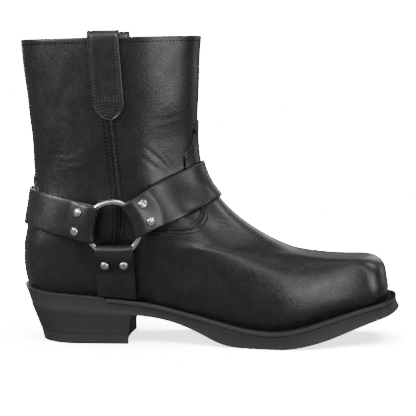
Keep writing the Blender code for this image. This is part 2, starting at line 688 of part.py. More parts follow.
def make_heel(collection, material, lift_material):
    """Stacked heel, leaning forwards at the back, on its rubber lift."""
    foot = LIFT_THICKNESS + GAP
    top = heel_grid(along(SEAT_UNDER_BACK) - 0.0004, along(HEEL_BREAST), lambda x: under_height(x) - GAP)
    low = heel_grid(along(BLOCK_FOOT_BACK), along(LIFT_BREAST), lambda x: np.full(x.shape, foot))
    block("heel_block", top, low, collection, material)
    top = heel_grid(along(BLOCK_FOOT_BACK), along(LIFT_BREAST), lambda x: np.full(x.shape, LIFT_THICKNESS))
    low = heel_grid(along(LIFT_BACK), along(LIFT_BREAST), lambda x: np.zeros(x.shape))
    block("heel_lift", top, low, collection, lift_material)


def make_pull_strap(name, side, collection, material):
    """Pull strap: a band that rises over the collar, sewn down outside with a round end."""
    half = PULL_WIDTH / 2
    centre_x = float(along((RINGS[-1][0] + RINGS[-1][2]) / 2)) - 0.0015
    collar = float(find_height(centre_x, side))
    stand = UPPER_WALL / 2 + STRAP_GAP + PULL_THICKNESS / 2
    rows = []
    for share in np.linspace(-1.0, 1.0, 4):
        rounded = half * (1.0 - np.cos(np.linspace(0.02, pi / 2, 6)))
        straight = np.linspace(PULL_LENGTH - half, 0.002, 7)[1:]
        depth = np.concatenate([PULL_LENGTH - rounded, straight])
        into_end = np.clip((depth - (PULL_LENGTH - half)) / half, 0.0, 1.0)
        wide = half * np.sqrt(np.maximum(1.0 - into_end**2, 0.0))
        x = centre_x + share * wide + PULL_DRIFT * depth / PULL_LENGTH
        u, v = find_on_side(x, collar - depth, side)
        outer = skin(u, v, np.full(u.shape, STRAP_GAP + PULL_THICKNESS / 2))
        rim_u = u[-1]
        rim = skin(rim_u, 1.0) - sample(DENSE_NORMAL, rim_u, 1.0) * UPPER_WALL / 2
        out = sample(DENSE_NORMAL, rim_u, 1.0)
        out = np.array([out[0], out[1], 0.0]) / np.linalg.norm(out[:2])
        angle = np.radians([15, 50, 90, 130, 165])
        rise = PULL_RISE + STRAP_GAP - PULL_THICKNESS / 2
        arch = rim + np.cos(angle)[:, None] * out * stand + np.sin(angle)[:, None] * np.array([0, 0, rise])
        inside_depth = np.linspace(0.003, PULL_INSIDE, 6)
        iu, iv = find_on_side(np.full(6, centre_x + share * half), collar - inside_depth, side)
        inner = skin(iu, iv, np.full(6, -UPPER_WALL - STRAP_GAP - PULL_THICKNESS / 2))
        rows.append(np.concatenate([outer, arch, inner]))
    return shell(name, np.asarray(rows), PULL_THICKNESS, 0.0, False, collection, material)


def find_height(x, side):
    """Height of the collar at a place along the boot."""
    half = DENSE_AROUND // 2
    rim = DENSE[-1, :half + 1] if side < 0 else DENSE[-1, half:][::-1]
    return np.interp(x, rim[:, 0], rim[:, 2])


def make_side_seam(name, side, collection, material):
    """Raised seam down the shaft, from under the pull strap's end to just above the ring."""
    high = float(find_height(along(SEAM_PLACE), side)) - PULL_LENGTH - 0.002
    low = RING_HEIGHT + RING_DIAMETER / 2 + 0.004
    z = np.linspace(high, low, 10)
    lean = (high - z) * SEAM_LEAN
    rows = []
    for share in (-0.5, 0.5):
        u, v = find_on_side(float(along(SEAM_PLACE)) + share * SEAM_WIDTH + lean, z, side)
        rows.append(skin(u, v, np.full(z.shape, GAP + SEAM_THICKNESS / 2)))
    return shell(name, np.asarray(rows), SEAM_THICKNESS, 0.0, False, collection, material)


def make_strap(name, rows, collection, material):
    """Harness strap from the rows of its middle surface."""
    return shell(name, rows, STRAP_THICKNESS, 0.0, False, collection, material)


def make_ring(name, ring, collection, material):
    """Harness ring of round wire, with its origin on its own axis."""
    bpy.ops.mesh.primitive_torus_add(major_segments=32, minor_segments=6,
                                     major_radius=ring.radius, minor_radius=RING_WIRE / 2)
    item = bpy.context.object
    item.name = name
    item.data.name = name
    turn = Matrix((ring.ahead, ring.up, np.cross(ring.ahead, ring.up))).transposed()
    item.rotation_euler = turn.to_euler()
    item.location = ring.centre
    item.data.materials.append(material)
    item.data.shade_smooth()
    for old in list(item.users_collection):
        old.objects.unlink(item)
    collection.objects.link(item)
    return item


def make_rivet(name, place, out, collection, material):
    """Domed rivet cap, flat underneath, with its origin at its foot."""
    build = bmesh.new()
    rings = []
    for level in (0.0, 0.45, 0.8):
        radius = RIVET_DIAMETER / 2 * sqrt(1.0 - level**2)
        rings.append([build.verts.new((radius * cos(a), radius * sin(a), level * RIVET_HEIGHT))
                      for a in np.linspace(0, 2 * pi, RIVET_SIDES + 1)[:-1]])
    crown = build.verts.new((0.0, 0.0, RIVET_HEIGHT))
    build.faces.new(rings[0][::-1])
    for low, high in zip(rings, rings[1:]):
        for k in range(RIVET_SIDES):
            n = (k + 1) % RIVET_SIDES
            build.faces.new((low[k], low[n], high[n], high[k]))
    for k in range(RIVET_SIDES):
        build.faces.new((rings[-1][k], rings[-1][(k + 1) % RIVET_SIDES], crown))
    mesh = bpy.data.meshes.new(name)
    build.to_mesh(mesh)
    build.free()
    mesh.shade_smooth()
    mesh.materials.append(material)
    item = bpy.data.objects.new(name, mesh)
    item.rotation_euler = Vector(out).to_track_quat("Z", "Y").to_euler()
    item.location = place
    collection.objects.link(item)
    return item


def seat(item, place, out, radius):
    """Foot and direction of a flat cap that stands on a piece, just clear of its highest point."""
    solid = item.evaluated_get(bpy.context.evaluated_depsgraph_get())
    out = Vector(out)
    first = out.orthogonal().normalized()
    second = out.cross(first)
    hits = []
    for share in (0.0, 0.5, 1.0):
        for angle in np.linspace(0.0, 2 * pi, RIVET_SIDES + 1)[:-1]:
            spot = Vector(place) + share * radius * (cos(angle) * first + sin(angle) * second)
            found, hit, _, _ = solid.ray_cast(spot + out * radius, -out)
            if found:
                hits.append(hit)
    hits = np.asarray(hits)
    middle_hit = hits.mean(axis=0)
    normal = np.linalg.svd(hits - middle_hit)[2][2]
    normal = normal if normal @ np.asarray(out) > 0 else -normal
    proud = ((hits - middle_hit) @ normal).max()
    return middle_hit + normal * (proud + RIVET_GAP), normal


def rivets_of(name, side, rings, label, strap, collection, material):
    """Two rivets side by side through a strap's fold, where it leaves the ring."""
    home = side if name == "bottom" else -1
    radius = RIVET_DIAMETER / 2
    for number, b in enumerate((-RIVET_SPREAD / 2, RIVET_SPREAD / 2), start=1):
        length = band_line(name, b, home)[3]
        far = RIVET_REACH if name == "bottom" or side < 0 else length - RIVET_REACH
        here = strap_points(name, home, rings, b, np.array([far]), 1, 0.0)[0]
        place, out = seat(strap, here, rings[side].axis, radius)
        make_rivet(f"rivet_{label}_{number}", place, out, collection, material)


def main():
    """Build every piece of the boot."""
    for item in list(bpy.data.objects):
        bpy.data.objects.remove(item, do_unlink=True)
    parts = bpy.data.collections.new("harness_boot")
    cutters = bpy.data.collections.new("cutters")
    bpy.context.scene.collection.children.link(parts)
    bpy.context.scene.collection.children.link(cutters)

    leather = paint("black_leather", (0.018, 0.018, 0.019), 0.42)
    strap_leather = paint("strap_leather", (0.020, 0.020, 0.021), 0.40)
    lining = paint("insole_leather", (0.16, 0.12, 0.09), 0.75)
    edge = paint("welt_leather", (0.025, 0.024, 0.024), 0.55)
    rubber = paint("sole_rubber", (0.022, 0.022, 0.023), 0.70)
    stack = paint("heel_stack", (0.024, 0.023, 0.022), 0.60)
    nickel = paint("nickel", (0.62, 0.60, 0.57), 0.22, 1.0)

    shell("upper", upper_grid(upper_levels(), 0.0), UPPER_WALL, -1.0, True, parts, leather)
    overlay("vamp", VAMP_EDGE, 0.93, True, parts, cutters, leather)
    overlay("heel_counter", COUNTER_EDGE, 0.75, False, parts, cutters, leather)
    make_insole(parts, lining)
    make_welt(parts, edge)
    make_outsole(parts, rubber)
    make_heel(parts, stack, rubber)

    rings = {side: Ring(side) for side in (-1, 1)}
    sides = {-1: "lateral", 1: "medial"}
    straps = {"front": make_strap("front_strap", strap_rows("front", -1, rings, 20), parts, strap_leather),
              "rear": make_strap("rear_strap", strap_rows("rear", -1, rings, 16), parts, strap_leather)}
    for side, label in sides.items():
        straps["bottom"] = make_strap(f"bottom_strap_{label}", strap_rows("bottom", side, rings, 4),
                                      parts, strap_leather)
        make_pull_strap(f"pull_strap_{label}", side, parts, strap_leather)
        make_side_seam(f"side_seam_{label}", side, parts, leather)
        make_ring(f"ring_{label}", rings[side], parts, nickel)
        for name, strap in straps.items():
            rivets_of(name, side, rings, f"{name}_{label}", strap, parts, nickel)


main()
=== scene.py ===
"""Harness boot, right foot: a square-toed black leather boot on a white floor, toe to the right.

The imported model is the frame. Every surface here is worked out from the same rings as the boot's
own pieces, only finer, and carries the creases, seams and stitches that the photograph shows.
All sizes are in metres.
"""
import bpy
import bmesh
import numpy as np
from math import atan, cos, pi, radians, sin, sqrt
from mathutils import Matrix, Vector


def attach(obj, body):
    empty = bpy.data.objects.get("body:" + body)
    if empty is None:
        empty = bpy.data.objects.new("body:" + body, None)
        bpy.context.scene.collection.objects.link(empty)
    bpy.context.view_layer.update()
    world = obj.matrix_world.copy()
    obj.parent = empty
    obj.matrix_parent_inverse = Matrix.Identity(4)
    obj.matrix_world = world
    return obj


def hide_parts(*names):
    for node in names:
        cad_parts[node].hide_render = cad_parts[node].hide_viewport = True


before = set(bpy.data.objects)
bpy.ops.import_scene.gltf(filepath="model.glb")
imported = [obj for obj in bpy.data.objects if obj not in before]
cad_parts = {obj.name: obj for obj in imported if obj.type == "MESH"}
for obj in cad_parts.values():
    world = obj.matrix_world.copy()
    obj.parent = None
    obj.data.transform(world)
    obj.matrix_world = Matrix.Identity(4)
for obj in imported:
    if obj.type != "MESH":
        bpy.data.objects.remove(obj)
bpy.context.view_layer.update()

# Sizes of the boot
SOLE_LENGTH = 0.315
BALL_WIDTH = 0.104
UPPER_RISE = 0.210
HEEL_SEAT = 0.0455
UPPER_WALL = 0.0024
OVERLAY_THICKNESS = 0.0012
WELT_THICKNESS = 0.0036
WELT_WIDTH = 0.012
LIFT_THICKNESS = 0.008
INSOLE_THICKNESS = 0.003

# Harness: its straps rise from the ring forwards and backwards, and the lower one hangs nearly plumb.
# The ring's place is a share of the sole's length
FRONT_STRAP_WIDTH = 0.0355
REAR_STRAP_WIDTH = 0.031
BOTTOM_STRAP_WIDTH = 0.033
STRAP_THICKNESS = 0.0024
STRAP_FOOT_GAP = 0.0034
FRONT_STRAP_RISE = radians(25.5)
REAR_STRAP_RISE = radians(10.5)
BOTTOM_STRAP_LEAN = radians(1.2)
FOLD_REACH = 0.040
RING_DIAMETER = 0.049
RING_WIRE = 0.0048
RING_HEIGHT = 0.0994
RING_PLACE = -0.2520

# Pull straps, which drift forwards on their way down, and the side seams below them
PULL_WIDTH = 0.0265
PULL_LENGTH = 0.0658
PULL_DRIFT = 0.0048
PULL_RISE = 0.0059
PULL_THICKNESS = 0.0024
PULL_INSIDE = 0.031
SEAM_LEAN = 0.10
SEAM_PLACE = -0.266

# Clearances between pieces, and how far the sole's middle lies ahead of the frame's origin
GAP = 0.0003
STRAP_GAP = 0.0009
FRAME_SHIFT = 0.0019

# Outline of the sole in plan. Shares along the sole, and half-widths as shares of the ball width
SOLE_STATIONS = (0.00, 0.12, 0.40, 0.54, 0.70, 0.92, 1.00)
SOLE_WIDTHS = (0.325, 0.325, 0.345, 0.420, 0.500, 0.335, 0.310)
SOLE_BACK_ROUND = 0.115
SOLE_FRONT_ROUND = 0.050
SEAT_BACK = -0.5110
SEAT_UNDER_BACK = -0.4925
SOLE_FRONT = 0.4925
SOLE_FRONT_UNDER = 0.5010
WELT_END = -0.2790
HEEL_BREAST = -0.2130
LIFT_BREAST = -0.2190
LIFT_BACK = -0.4600
BLOCK_FOOT_BACK = -0.4670
BREAST_HOLLOW = 0.0030
END_POWER = 2.2

# Heights along the sole. Places are shares of its length, and heights shares of the heel seat
TOP_PLACES = (-0.512, -0.485, -0.445, -0.371, -0.276, -0.165, -0.032,
              0.111, 0.159, 0.210, 0.308, 0.410, 0.463, 0.500)
TOP_HEIGHTS = (1.024, 0.984, 0.946, 0.906, 0.847, 0.760, 0.558,
               0.344, 0.323, 0.352, 0.520, 0.716, 0.814, 0.880)
UNDER_PLACES = (-0.510, -0.350, -0.208, -0.124, -0.060, -0.025, 0.006, 0.038, 0.070, 0.095,
                0.205, 0.260, 0.308, 0.359, 0.410, 0.451, 0.500)
UNDER_HEIGHTS = (0.650, 0.590, 0.538, 0.459, 0.325, 0.220, 0.115, 0.038, 0.007, 0.000,
                 0.012, 0.072, 0.156, 0.276, 0.402, 0.505, 0.640)

# Sideways curve of the right foot, as shares of the ball width towards the inner side
CURVE_PLACES = (-0.51, -0.11, 0.18, 0.34, 0.50)
CURVE_SHIFTS = (0.006, 0.000, -0.004, 0.010, 0.040)

# Rings of the upper, from the sole to the collar. Places are shares of the sole's length, rises
# shares of the upper's rise, half-widths shares of the ball width, round ends shares of the length
RING_COLUMNS = ("back", "back_rise", "front", "front_rise", "follow",
                "heel", "waist", "ball", "toe", "back_round", "front_round")
RINGS = (
    (-0.4950, 0.000, 0.4656, 0.000, 1.00, 0.274, 0.293, 0.413, 0.274, 0.102, 0.050),
    (-0.5030, 0.039, 0.4665, 0.043, 0.92, 0.298, 0.317, 0.438, 0.293, 0.102, 0.052),
    (-0.5070, 0.087, 0.4620, 0.088, 0.85, 0.308, 0.332, 0.442, 0.288, 0.102, 0.054),
    (-0.5070, 0.135, 0.4550, 0.133, 0.70, 0.312, 0.339, 0.431, 0.269, 0.102, 0.058),
    (-0.5060, 0.173, 0.4310, 0.170, 0.55, 0.315, 0.346, 0.409, 0.245, 0.102, 0.066),
    (-0.5020, 0.204, 0.3760, 0.195, 0.29, 0.317, 0.354, 0.375, 0.220, 0.105, 0.085),
    (-0.4990, 0.232, 0.3110, 0.227, 0.10, 0.317, 0.356, 0.356, 0.212, 0.110, 0.110),
    (-0.4950, 0.261, 0.2540, 0.262, 0.04, 0.319, 0.358, 0.337, 0.205, 0.115, 0.125),
    (-0.4920, 0.290, 0.1970, 0.305, 0.00, 0.320, 0.358, 0.327, 0.200, 0.120, 0.135),
    (-0.4850, 0.352, 0.0920, 0.387, 0.00, 0.322, 0.356, 0.322, 0.200, 0.135, 0.150),
    (-0.4810, 0.415, 0.0190, 0.459, 0.00, 0.322, 0.356, 0.327, 0.221, 0.155, 0.165),
    (-0.4830, 0.486, -0.0285, 0.550, 0.00, 0.327, 0.356, 0.341, 0.260, 0.175, 0.180),
    (-0.4865, 0.590, -0.0435, 0.677, 0.00, 0.346, 0.365, 0.356, 0.308, 0.195, 0.195),
    (-0.4960, 0.720, -0.0390, 0.826, 0.00, 0.365, 0.380, 0.370, 0.346, 0.210, 0.205),
    (-0.5095, 0.881, -0.0355, 1.002, 0.00, 0.385, 0.394, 0.385, 0.365, 0.225, 0.215),
    (-0.5145, 0.975, -0.0327, 1.092, 0.00, 0.389, 0.399, 0.389, 0.370, 0.225, 0.220),
)
RING_STATIONS = (0.0, 0.12, 0.40, 0.70, 0.92, 1.0)

# Cut edges in side view: places as shares of the sole's length, rises of the upper's rise
VAMP_EDGE = ((-0.245, -0.10), (-0.245, 0.20), (-0.244, 0.345), (-0.215, 0.353), (-0.155, 0.352),
             (-0.078, 0.350), (-0.051, 0.364), (-0.033, 0.393), (-0.028, 0.424), (-0.035, 0.493),
             (-0.050, 0.548), (-0.064, 0.576), (-0.074, 0.608), (-0.072, 0.640), (-0.058, 0.668),
             (-0.051, 0.710), (-0.048, 0.743), (-0.034, 0.772), (0.030, 0.790))
COUNTER_EDGE = ((-0.255, -0.10), (-0.255, 0.20), (-0.256, 0.330), (-0.300, 0.360), (-0.380, 0.380),
                (-0.425, 0.400), (-0.446, 0.440), (-0.460, 0.492), (-0.482, 0.545), (-0.560, 0.575))

# How finely the rings are worked out
DENSE_AROUND = 480
DENSE_LEVELS = 300


def along(share):
    """Place along the sole's length, in the frame."""
    return np.asarray(share) * SOLE_LENGTH + FRAME_SHIFT


def through(stations, values, at):
    """Smooth curve through the values at the stations, with each slope taken from its neighbours."""
    x = np.asarray(stations, float)
    y = np.asarray(values, float)
    at = np.clip(at, x[0], x[-1])
    step = np.diff(x)
    rise = np.diff(y, axis=-1) / step
    inner = (rise[..., :-1] * step[1:] + rise[..., 1:] * step[:-1]) / (step[:-1] + step[1:])
    slope = np.concatenate([rise[..., :1], inner, rise[..., -1:]], axis=-1)
    i = np.clip(np.searchsorted(x, at, side="right") - 1, 0, len(step) - 1)
    t = (at - x[i]) / step[i]
    h = step[i]
    return ((2 * t**3 - 3 * t**2 + 1) * y[..., i] + (t**3 - 2 * t**2 + t) * h * slope[..., i]
            + (3 * t**2 - 2 * t**3) * y[..., i + 1] + (t**3 - t**2) * h * slope[..., i + 1])


def ease(t):
    """Smooth step from 0 to 1."""
    t = np.clip(t, 0.0, 1.0)
    return t * t * (3.0 - 2.0 * t)


def top_height(x):
    """Height of the welt's upper face, which carries the upper."""
    return through(along(TOP_PLACES), np.asarray(TOP_HEIGHTS) * HEEL_SEAT, x)


def under_height(x):
    """Height of the outsole's tread, and over the heel of its flat seat."""
    return np.maximum(through(along(UNDER_PLACES), np.asarray(UNDER_HEIGHTS) * HEEL_SEAT, x), 0.0)


def middle(x):
    """Sideways place of the foot's centre line."""
    return through(along(CURVE_PLACES), np.asarray(CURVE_SHIFTS) * BALL_WIDTH, x)


def closing(distance, length):
    """Share of the full width at a distance from a round end of the given length."""
    t = 1.0 - np.clip(distance / length, 0.0, 1.0)
    return (1.0 - t**END_POWER) ** (1.0 / END_POWER)


def sole_half_width(x, back, front):
    """Half-width of the sole's outline at x, closed at the back and front."""
    share = (x - back) / (front - back)
    wide = through(SOLE_STATIONS, np.asarray(SOLE_WIDTHS) * BALL_WIDTH, share)
    wide = wide * closing(x - back, SOLE_BACK_ROUND * SOLE_LENGTH)
    return wide * closing(front - x, SOLE_FRONT_ROUND * SOLE_LENGTH)


def run_along(line):
    """Length run from a line's first point to each of its points."""
    return np.concatenate([[0.0], np.cumsum(np.linalg.norm(np.diff(line, axis=0), axis=1))])


def between(at, run, values):
    """Rows of values, given along a run, at other lengths along it."""
    return np.stack([np.interp(at, run, values[:, k]) for k in range(values.shape[1])], axis=1)


def ring_points(levels, around):
    """Rings of the upper at levels 0 to 1, each from the back round the outer side and home again.

    Each half of a ring runs from its back point to its front point; its half-width is a smooth
    curve through the table's widths, closed at both ends, and its height follows the sole's top
    by the share in the table. The points are then spread evenly along the half.
    """
    table = np.asarray(RINGS)
    rows = np.linspace(0.0, 1.0, len(table))
    col = {name: through(rows, table[:, k], levels)[:, None] for k, name in enumerate(RING_COLUMNS)}
    share = (1.0 - np.cos(np.linspace(0.0, pi, 361))) / 2.0
    back = along(col["back"])
    front = along(col["front"])
    x = back + (front - back) * share
    widths = np.concatenate([col[name] for name in ("heel", "heel", "waist", "ball", "toe", "toe")], axis=1)
    wide = through(RING_STATIONS, widths * BALL_WIDTH, share)
    sole = through(SOLE_STATIONS, SOLE_WIDTHS, share)
    coarse = through(RING_STATIONS, through(SOLE_STATIONS, SOLE_WIDTHS, RING_STATIONS), share)
    wide = wide + col["follow"] * (sole - coarse) * BALL_WIDTH
    half = wide * closing(x - back, col["back_round"] * SOLE_LENGTH)
    half = half * closing(front - x, col["front_round"] * SOLE_LENGTH)
    low = top_height(back) + GAP
    high = top_height(front) + GAP
    chord = low + (high - low) * share
    z = (chord + (col["back_rise"] + (col["front_rise"] - col["back_rise"]) * share) * UPPER_RISE
         + col["follow"] * (top_height(x) + GAP - chord))
    rings = []
    for k in range(len(levels)):
        halves = []
        for side in (-1, 1):
            line = np.stack([x[k], middle(x[k]) + side * half[k], z[k]], axis=1)
            run = run_along(line)
            halves.append(between(np.linspace(0.0, run[-1], around // 2 + 1), run, line))
        rings.append(np.concatenate([halves[0], halves[1][-2::-1]]))
    return np.asarray(rings)


def relaxed(grid):
    """The rings with the vamp's broad side ridge eased: each point there moves towards the mean of
    its neighbours, over and over, and not near the sole, the toe or the straps."""
    x = grid[..., 0]
    z = grid[..., 2]
    free = ease((x - 0.004) / 0.024) * ease((0.128 - x) / 0.024) * ease((z - 0.042) / 0.016)
    step = 3
    free = (free * 0.45)[step:-step, :, None]
    for _ in range(40):
        wide = np.concatenate([grid[:, -1 - step:-1], grid, grid[:, 1:1 + step]], axis=1)[step:-step]
        mean = (wide[:, 2 * step:] + wide[:, :-2 * step] + grid[2 * step:] + grid[:-2 * step]) / 4.0
        inner = grid[step:-step] + (mean - grid[step:-step]) * free
        grid = np.concatenate([grid[:step], inner, grid[-step:]])
    return grid


def outward(grid):
    """Normals of a grid of rings, pointing out of the boot."""
    wrapped = np.concatenate([grid[:, -2:-1], grid, grid[:, 1:2]], axis=1)
    du = (wrapped[:, 2:] - wrapped[:, :-2])
    dv = np.gradient(grid, axis=0)
    normal = np.cross(du, dv)
    return normal / np.linalg.norm(normal, axis=2, keepdims=True)


DENSE = relaxed(ring_points(np.linspace(0.0, 1.0, DENSE_LEVELS + 1), DENSE_AROUND))
DENSE_NORMAL = outward(DENSE)


def sample(grid, u, v):
    """Grid value at u (0 to 1 around) and v (0 to 1 up), blended from the four nearest points."""
    a = np.clip(np.asarray(u, float) % 1.0 * DENSE_AROUND, 0, DENSE_AROUND - 1e-9)
    b = np.clip(np.asarray(v, float) * DENSE_LEVELS, 0, DENSE_LEVELS - 1e-9)
    i = np.floor(b).astype(int)
    j = np.floor(a).astype(int)
    s = (b - i)[..., None]
    t = (a - j)[..., None]
    return ((1 - s) * ((1 - t) * grid[i, j] + t * grid[i, j + 1])
            + s * ((1 - t) * grid[i + 1, j] + t * grid[i + 1, j + 1]))


def skin(u, v, lift=0.0):
    """Point on the upper's outer face, lifted off it by a distance."""
    return sample(DENSE, u, v) + sample(DENSE_NORMAL, u, v) * np.asarray(lift)[..., None]


def find_on_side(x, z, side):
    """Surface coordinates of the point on one side of the upper that has the given x and z."""
    x, z = np.broadcast_arrays(np.asarray(x, float), np.asarray(z, float))
    half = DENSE_AROUND // 2
    columns = np.arange(6, half - 5, 6) if side < 0 else np.arange(half + 6, DENSE_AROUND - 5, 6)
    levels = np.arange(0, DENSE_LEVELS + 1, 6)
    coarse = DENSE[levels][:, columns]
    distance = (coarse[..., 0] - x[..., None, None])**2 + (coarse[..., 2] - z[..., None, None])**2
    best = distance.reshape(x.shape + (-1,)).argmin(axis=-1)
    v = levels[best // len(columns)] / DENSE_LEVELS
    u = columns[best % len(columns)] / DENSE_AROUND
    step = 2e-3
    for _ in range(10):
        here = sample(DENSE, u, v)
        du = (sample(DENSE, u + step, v) - sample(DENSE, u - step, v)) / (2 * step)
        dv = (sample(DENSE, u, np.clip(v + step, 0, 1)) - sample(DENSE, u, np.clip(v - step, 0, 1))) / (
            np.clip(v + step, 0, 1) - np.clip(v - step, 0, 1))[..., None]
        ex = x - here[..., 0]
        ez = z - here[..., 2]
        det = du[..., 0] * dv[..., 2] - du[..., 2] * dv[..., 0]
        det = np.where(np.abs(det) < 1e-9, 1e-9, det)
        u = u + np.clip((ex * dv[..., 2] - ez * dv[..., 0]) / det, -0.03, 0.03)
        v = np.clip(v + np.clip((ez * du[..., 0] - ex * du[..., 2]) / det, -0.05, 0.05), 0.0, 1.0)
        low, high = (0.002, 0.498) if side < 0 else (0.502, 0.998)
        u = np.clip(u, low, high)
    return u, v


def crossing(values):
    """Place, in grid steps along the first axis, where each column first turns from minus to plus."""
    turn = (values[:-1] <= 0) & (values[1:] > 0)
    i = turn.argmax(axis=0)
    column = np.arange(values.shape[1])
    before = values[i, column]
    after = values[i + 1, column]
    return i + before / np.where(before == after, 1.0, before - after)


class Ring:
    """One harness ring: its centre, its outward axis and the flat frame that it lies in."""

    def __init__(self, side):
        self.side = side
        self.radius = (RING_DIAMETER - RING_WIRE) / 2
        self.x = float(along(RING_PLACE))
        self.z = RING_HEIGHT
        ways = [strap_way(name) for name in ("front", "rear", "bottom")]
        feet = []
        for way in ways:
            u, v = find_on_side(self.x + way[0] * self.radius, self.z + way[1] * self.radius, side)
            feet.append(skin(u, v))
        normal = np.cross(feet[1] - feet[0], feet[2] - feet[0])
        normal = normal / np.linalg.norm(normal)
        self.axis = normal if normal[1] * side > 0 else -normal
        drop = ((feet[0] - [self.x, 0, self.z]) @ self.axis) / self.axis[1]
        centre = np.array([self.x, drop, self.z])
        angle = np.linspace(0, 2 * pi, 73)
        self.ahead = np.cross([0, 0, 1.0], self.axis) * -1.0
        self.ahead = self.ahead / np.linalg.norm(self.ahead)
        if self.ahead[0] < 0:
            self.ahead = -self.ahead
        self.up = np.cross(self.ahead, self.axis)
        if self.up[2] < 0:
            self.up = -self.up
        wire = centre + self.radius * (np.cos(angle)[:, None] * self.ahead
                                       + np.sin(angle)[:, None] * self.up)
        u, v = find_on_side(wire[:, 0], wire[:, 2], side)
        proud = ((skin(u, v) - wire) @ self.axis).max()
        stand = layer_base() + STRAP_THICKNESS + STRAP_GAP + RING_WIRE / 2
        self.centre = centre + self.axis * (proud + stand)

    def directions(self, way):
        """Flat directions in the ring's own plane, along a strap and across it."""
        ahead = self.ahead * way[0] + self.up * way[1]
        across = self.ahead * -way[1] + self.up * way[0]
        return ahead, across


def strap_way(name):
    """Direction of a harness strap away from the ring, in side view."""
    if name == "front":
        return cos(FRONT_STRAP_RISE), sin(FRONT_STRAP_RISE)
    if name == "rear":
        return -cos(REAR_STRAP_RISE), sin(REAR_STRAP_RISE)
    return sin(BOTTOM_STRAP_LEAN), -cos(BOTTOM_STRAP_LEAN)


def layer_base():
    """Height off the upper of a strap's inner face, clear of the vamp and counter."""
    return GAP + OVERLAY_THICKNESS + STRAP_GAP


def band_line(name, b, side):
    """Line on the upper that a strap's thread at b across it follows, from the ring's middle on.

    It is where the upper meets a slanted plane. Returned are the run along it and the surface
    coordinates. A front or rear strap goes on to the middle of the other side's ring.
    """
    way = strap_way(name)
    x0 = float(along(RING_PLACE))
    across = (-way[1], way[0])
    off = (DENSE[..., 0] - x0) * across[0] + (DENSE[..., 2] - RING_HEIGHT) * across[1] - b
    if name == "bottom":
        half = DENSE_AROUND // 2
        off = off[:, :half + 1] if side < 0 else off[:, half:]
        sign = 1.0 if off[DENSE_LEVELS // 2, -1] > off[DENSE_LEVELS // 2, 0] else -1.0
        place = crossing((sign * off).T)
        u = (place + (0 if side < 0 else half)) / DENSE_AROUND
        v = np.linspace(0.0, 1.0, DENSE_LEVELS + 1)
        u = u[::-1]
        v = v[::-1]
    else:
        sign = 1.0 if across[1] > 0 else -1.0
        v = crossing(sign * off) / DENSE_LEVELS
        u = np.linspace(0.0, 1.0, DENSE_AROUND + 1)
        if name == "rear":
            half = DENSE_AROUND // 2
            u = np.concatenate([u[half:-1] - 1.0, u[:half + 1]])
            v = np.concatenate([v[half:-1], v[:half + 1]])
            u = u[::-1]
            v = v[::-1]
    line = skin(u, v)
    run = run_along(line)
    ahead = (line[:, 0] - x0) * way[0] + (line[:, 2] - RING_HEIGHT) * way[1]
    turns = np.nonzero((ahead[:-1] <= 0) & (ahead[1:] > 0))[0]
    backs = np.nonzero((ahead[:-1] > 0) & (ahead[1:] <= 0))[0]
    first = turns[0]
    start = np.interp(0.0, [ahead[first], ahead[first + 1]], [run[first], run[first + 1]])
    run = run - start
    length = run[-1]
    if name != "bottom":
        last = backs[-1]
        length = np.interp(0.0, [-ahead[last], -ahead[last + 1]], [run[last], run[last + 1]])
    return run, u, v, length


def strap_width(name):
    """Full width of a harness strap away from its folds."""
    return {"front": FRONT_STRAP_WIDTH, "rear": REAR_STRAP_WIDTH, "bottom": BOTTOM_STRAP_WIDTH}[name]


def find_height(x, side):
    """Height of the collar at a place along the boot."""
    half = DENSE_AROUND // 2
    rim = DENSE[-1, :half + 1] if side < 0 else DENSE[-1, half:][::-1]
    return np.interp(x, rim[:, 0], rim[:, 2])


def spread(start, end, count):
    """Places from start to end, closer together at both ends."""
    t = np.linspace(0.0, 1.0, count)
    return start + (end - start) * (0.45 * t + 0.55 * (1.0 - np.cos(pi * t)) / 2.0)


# Creases of the leather in side view, in millimetres: both ends, how far the middle bows up, the
# crease's half-breadth and its depth. They are the photograph's, and the inner side repeats them
CREASE_COLUMNS = ("x0", "z0", "x1", "z1", "bow", "breadth", "depth")
CREASES = (
    (-47, 196, -30, 193, 1.5, 1.0, 0.30),
    (-41, 192, -20, 190, -1.5, 1.1, 0.34),
    (-50, 187, -26, 185, 1.5, 1.2, 0.32),
    (-44, 181, -22, 183, -1.0, 1.2, 0.26),
    (-56, 167, -33, 147, 1.0, 1.3, 0.42),
    (-52, 161, -30, 142, 1.5, 1.2, 0.46),
    (-43, 162, -27, 143, 1.0, 1.1, 0.38),
    (-58, 158, -40, 143, 1.0, 1.3, 0.30),
    (-134, 189, -112, 187, -1.5, 1.3, 0.28),
    (-128, 183, -106, 181, 1.5, 1.4, 0.24),
    (-134, 158, -115, 157, 1.5, 1.2, 0.30),
    (-127, 153, -104, 154, -2.0, 1.4, 0.32),
    (-130, 148, -112, 150, -1.0, 1.4, 0.22),
    (-117, 213, -107, 222, 0.5, 1.0, 0.24),
    (-112, 212, -103, 221, 0.5, 1.0, 0.24),
    (6, 103, 19, 99, 1.0, 0.9, 0.20),
    (8, 99, 22, 95, 1.2, 0.9, 0.22),
    (12, 95, 25, 91, 1.0, 0.9, 0.16),
    (33, 69, 37, 44, 1.2, 0.8, 0.20),
    (37, 66, 40, 40, -1.0, 0.8, 0.20),
    (29, 60, 33, 36, 1.0, 0.9, 0.14),
    (42, 60, 43, 42, 0.8, 0.8, 0.12),
)


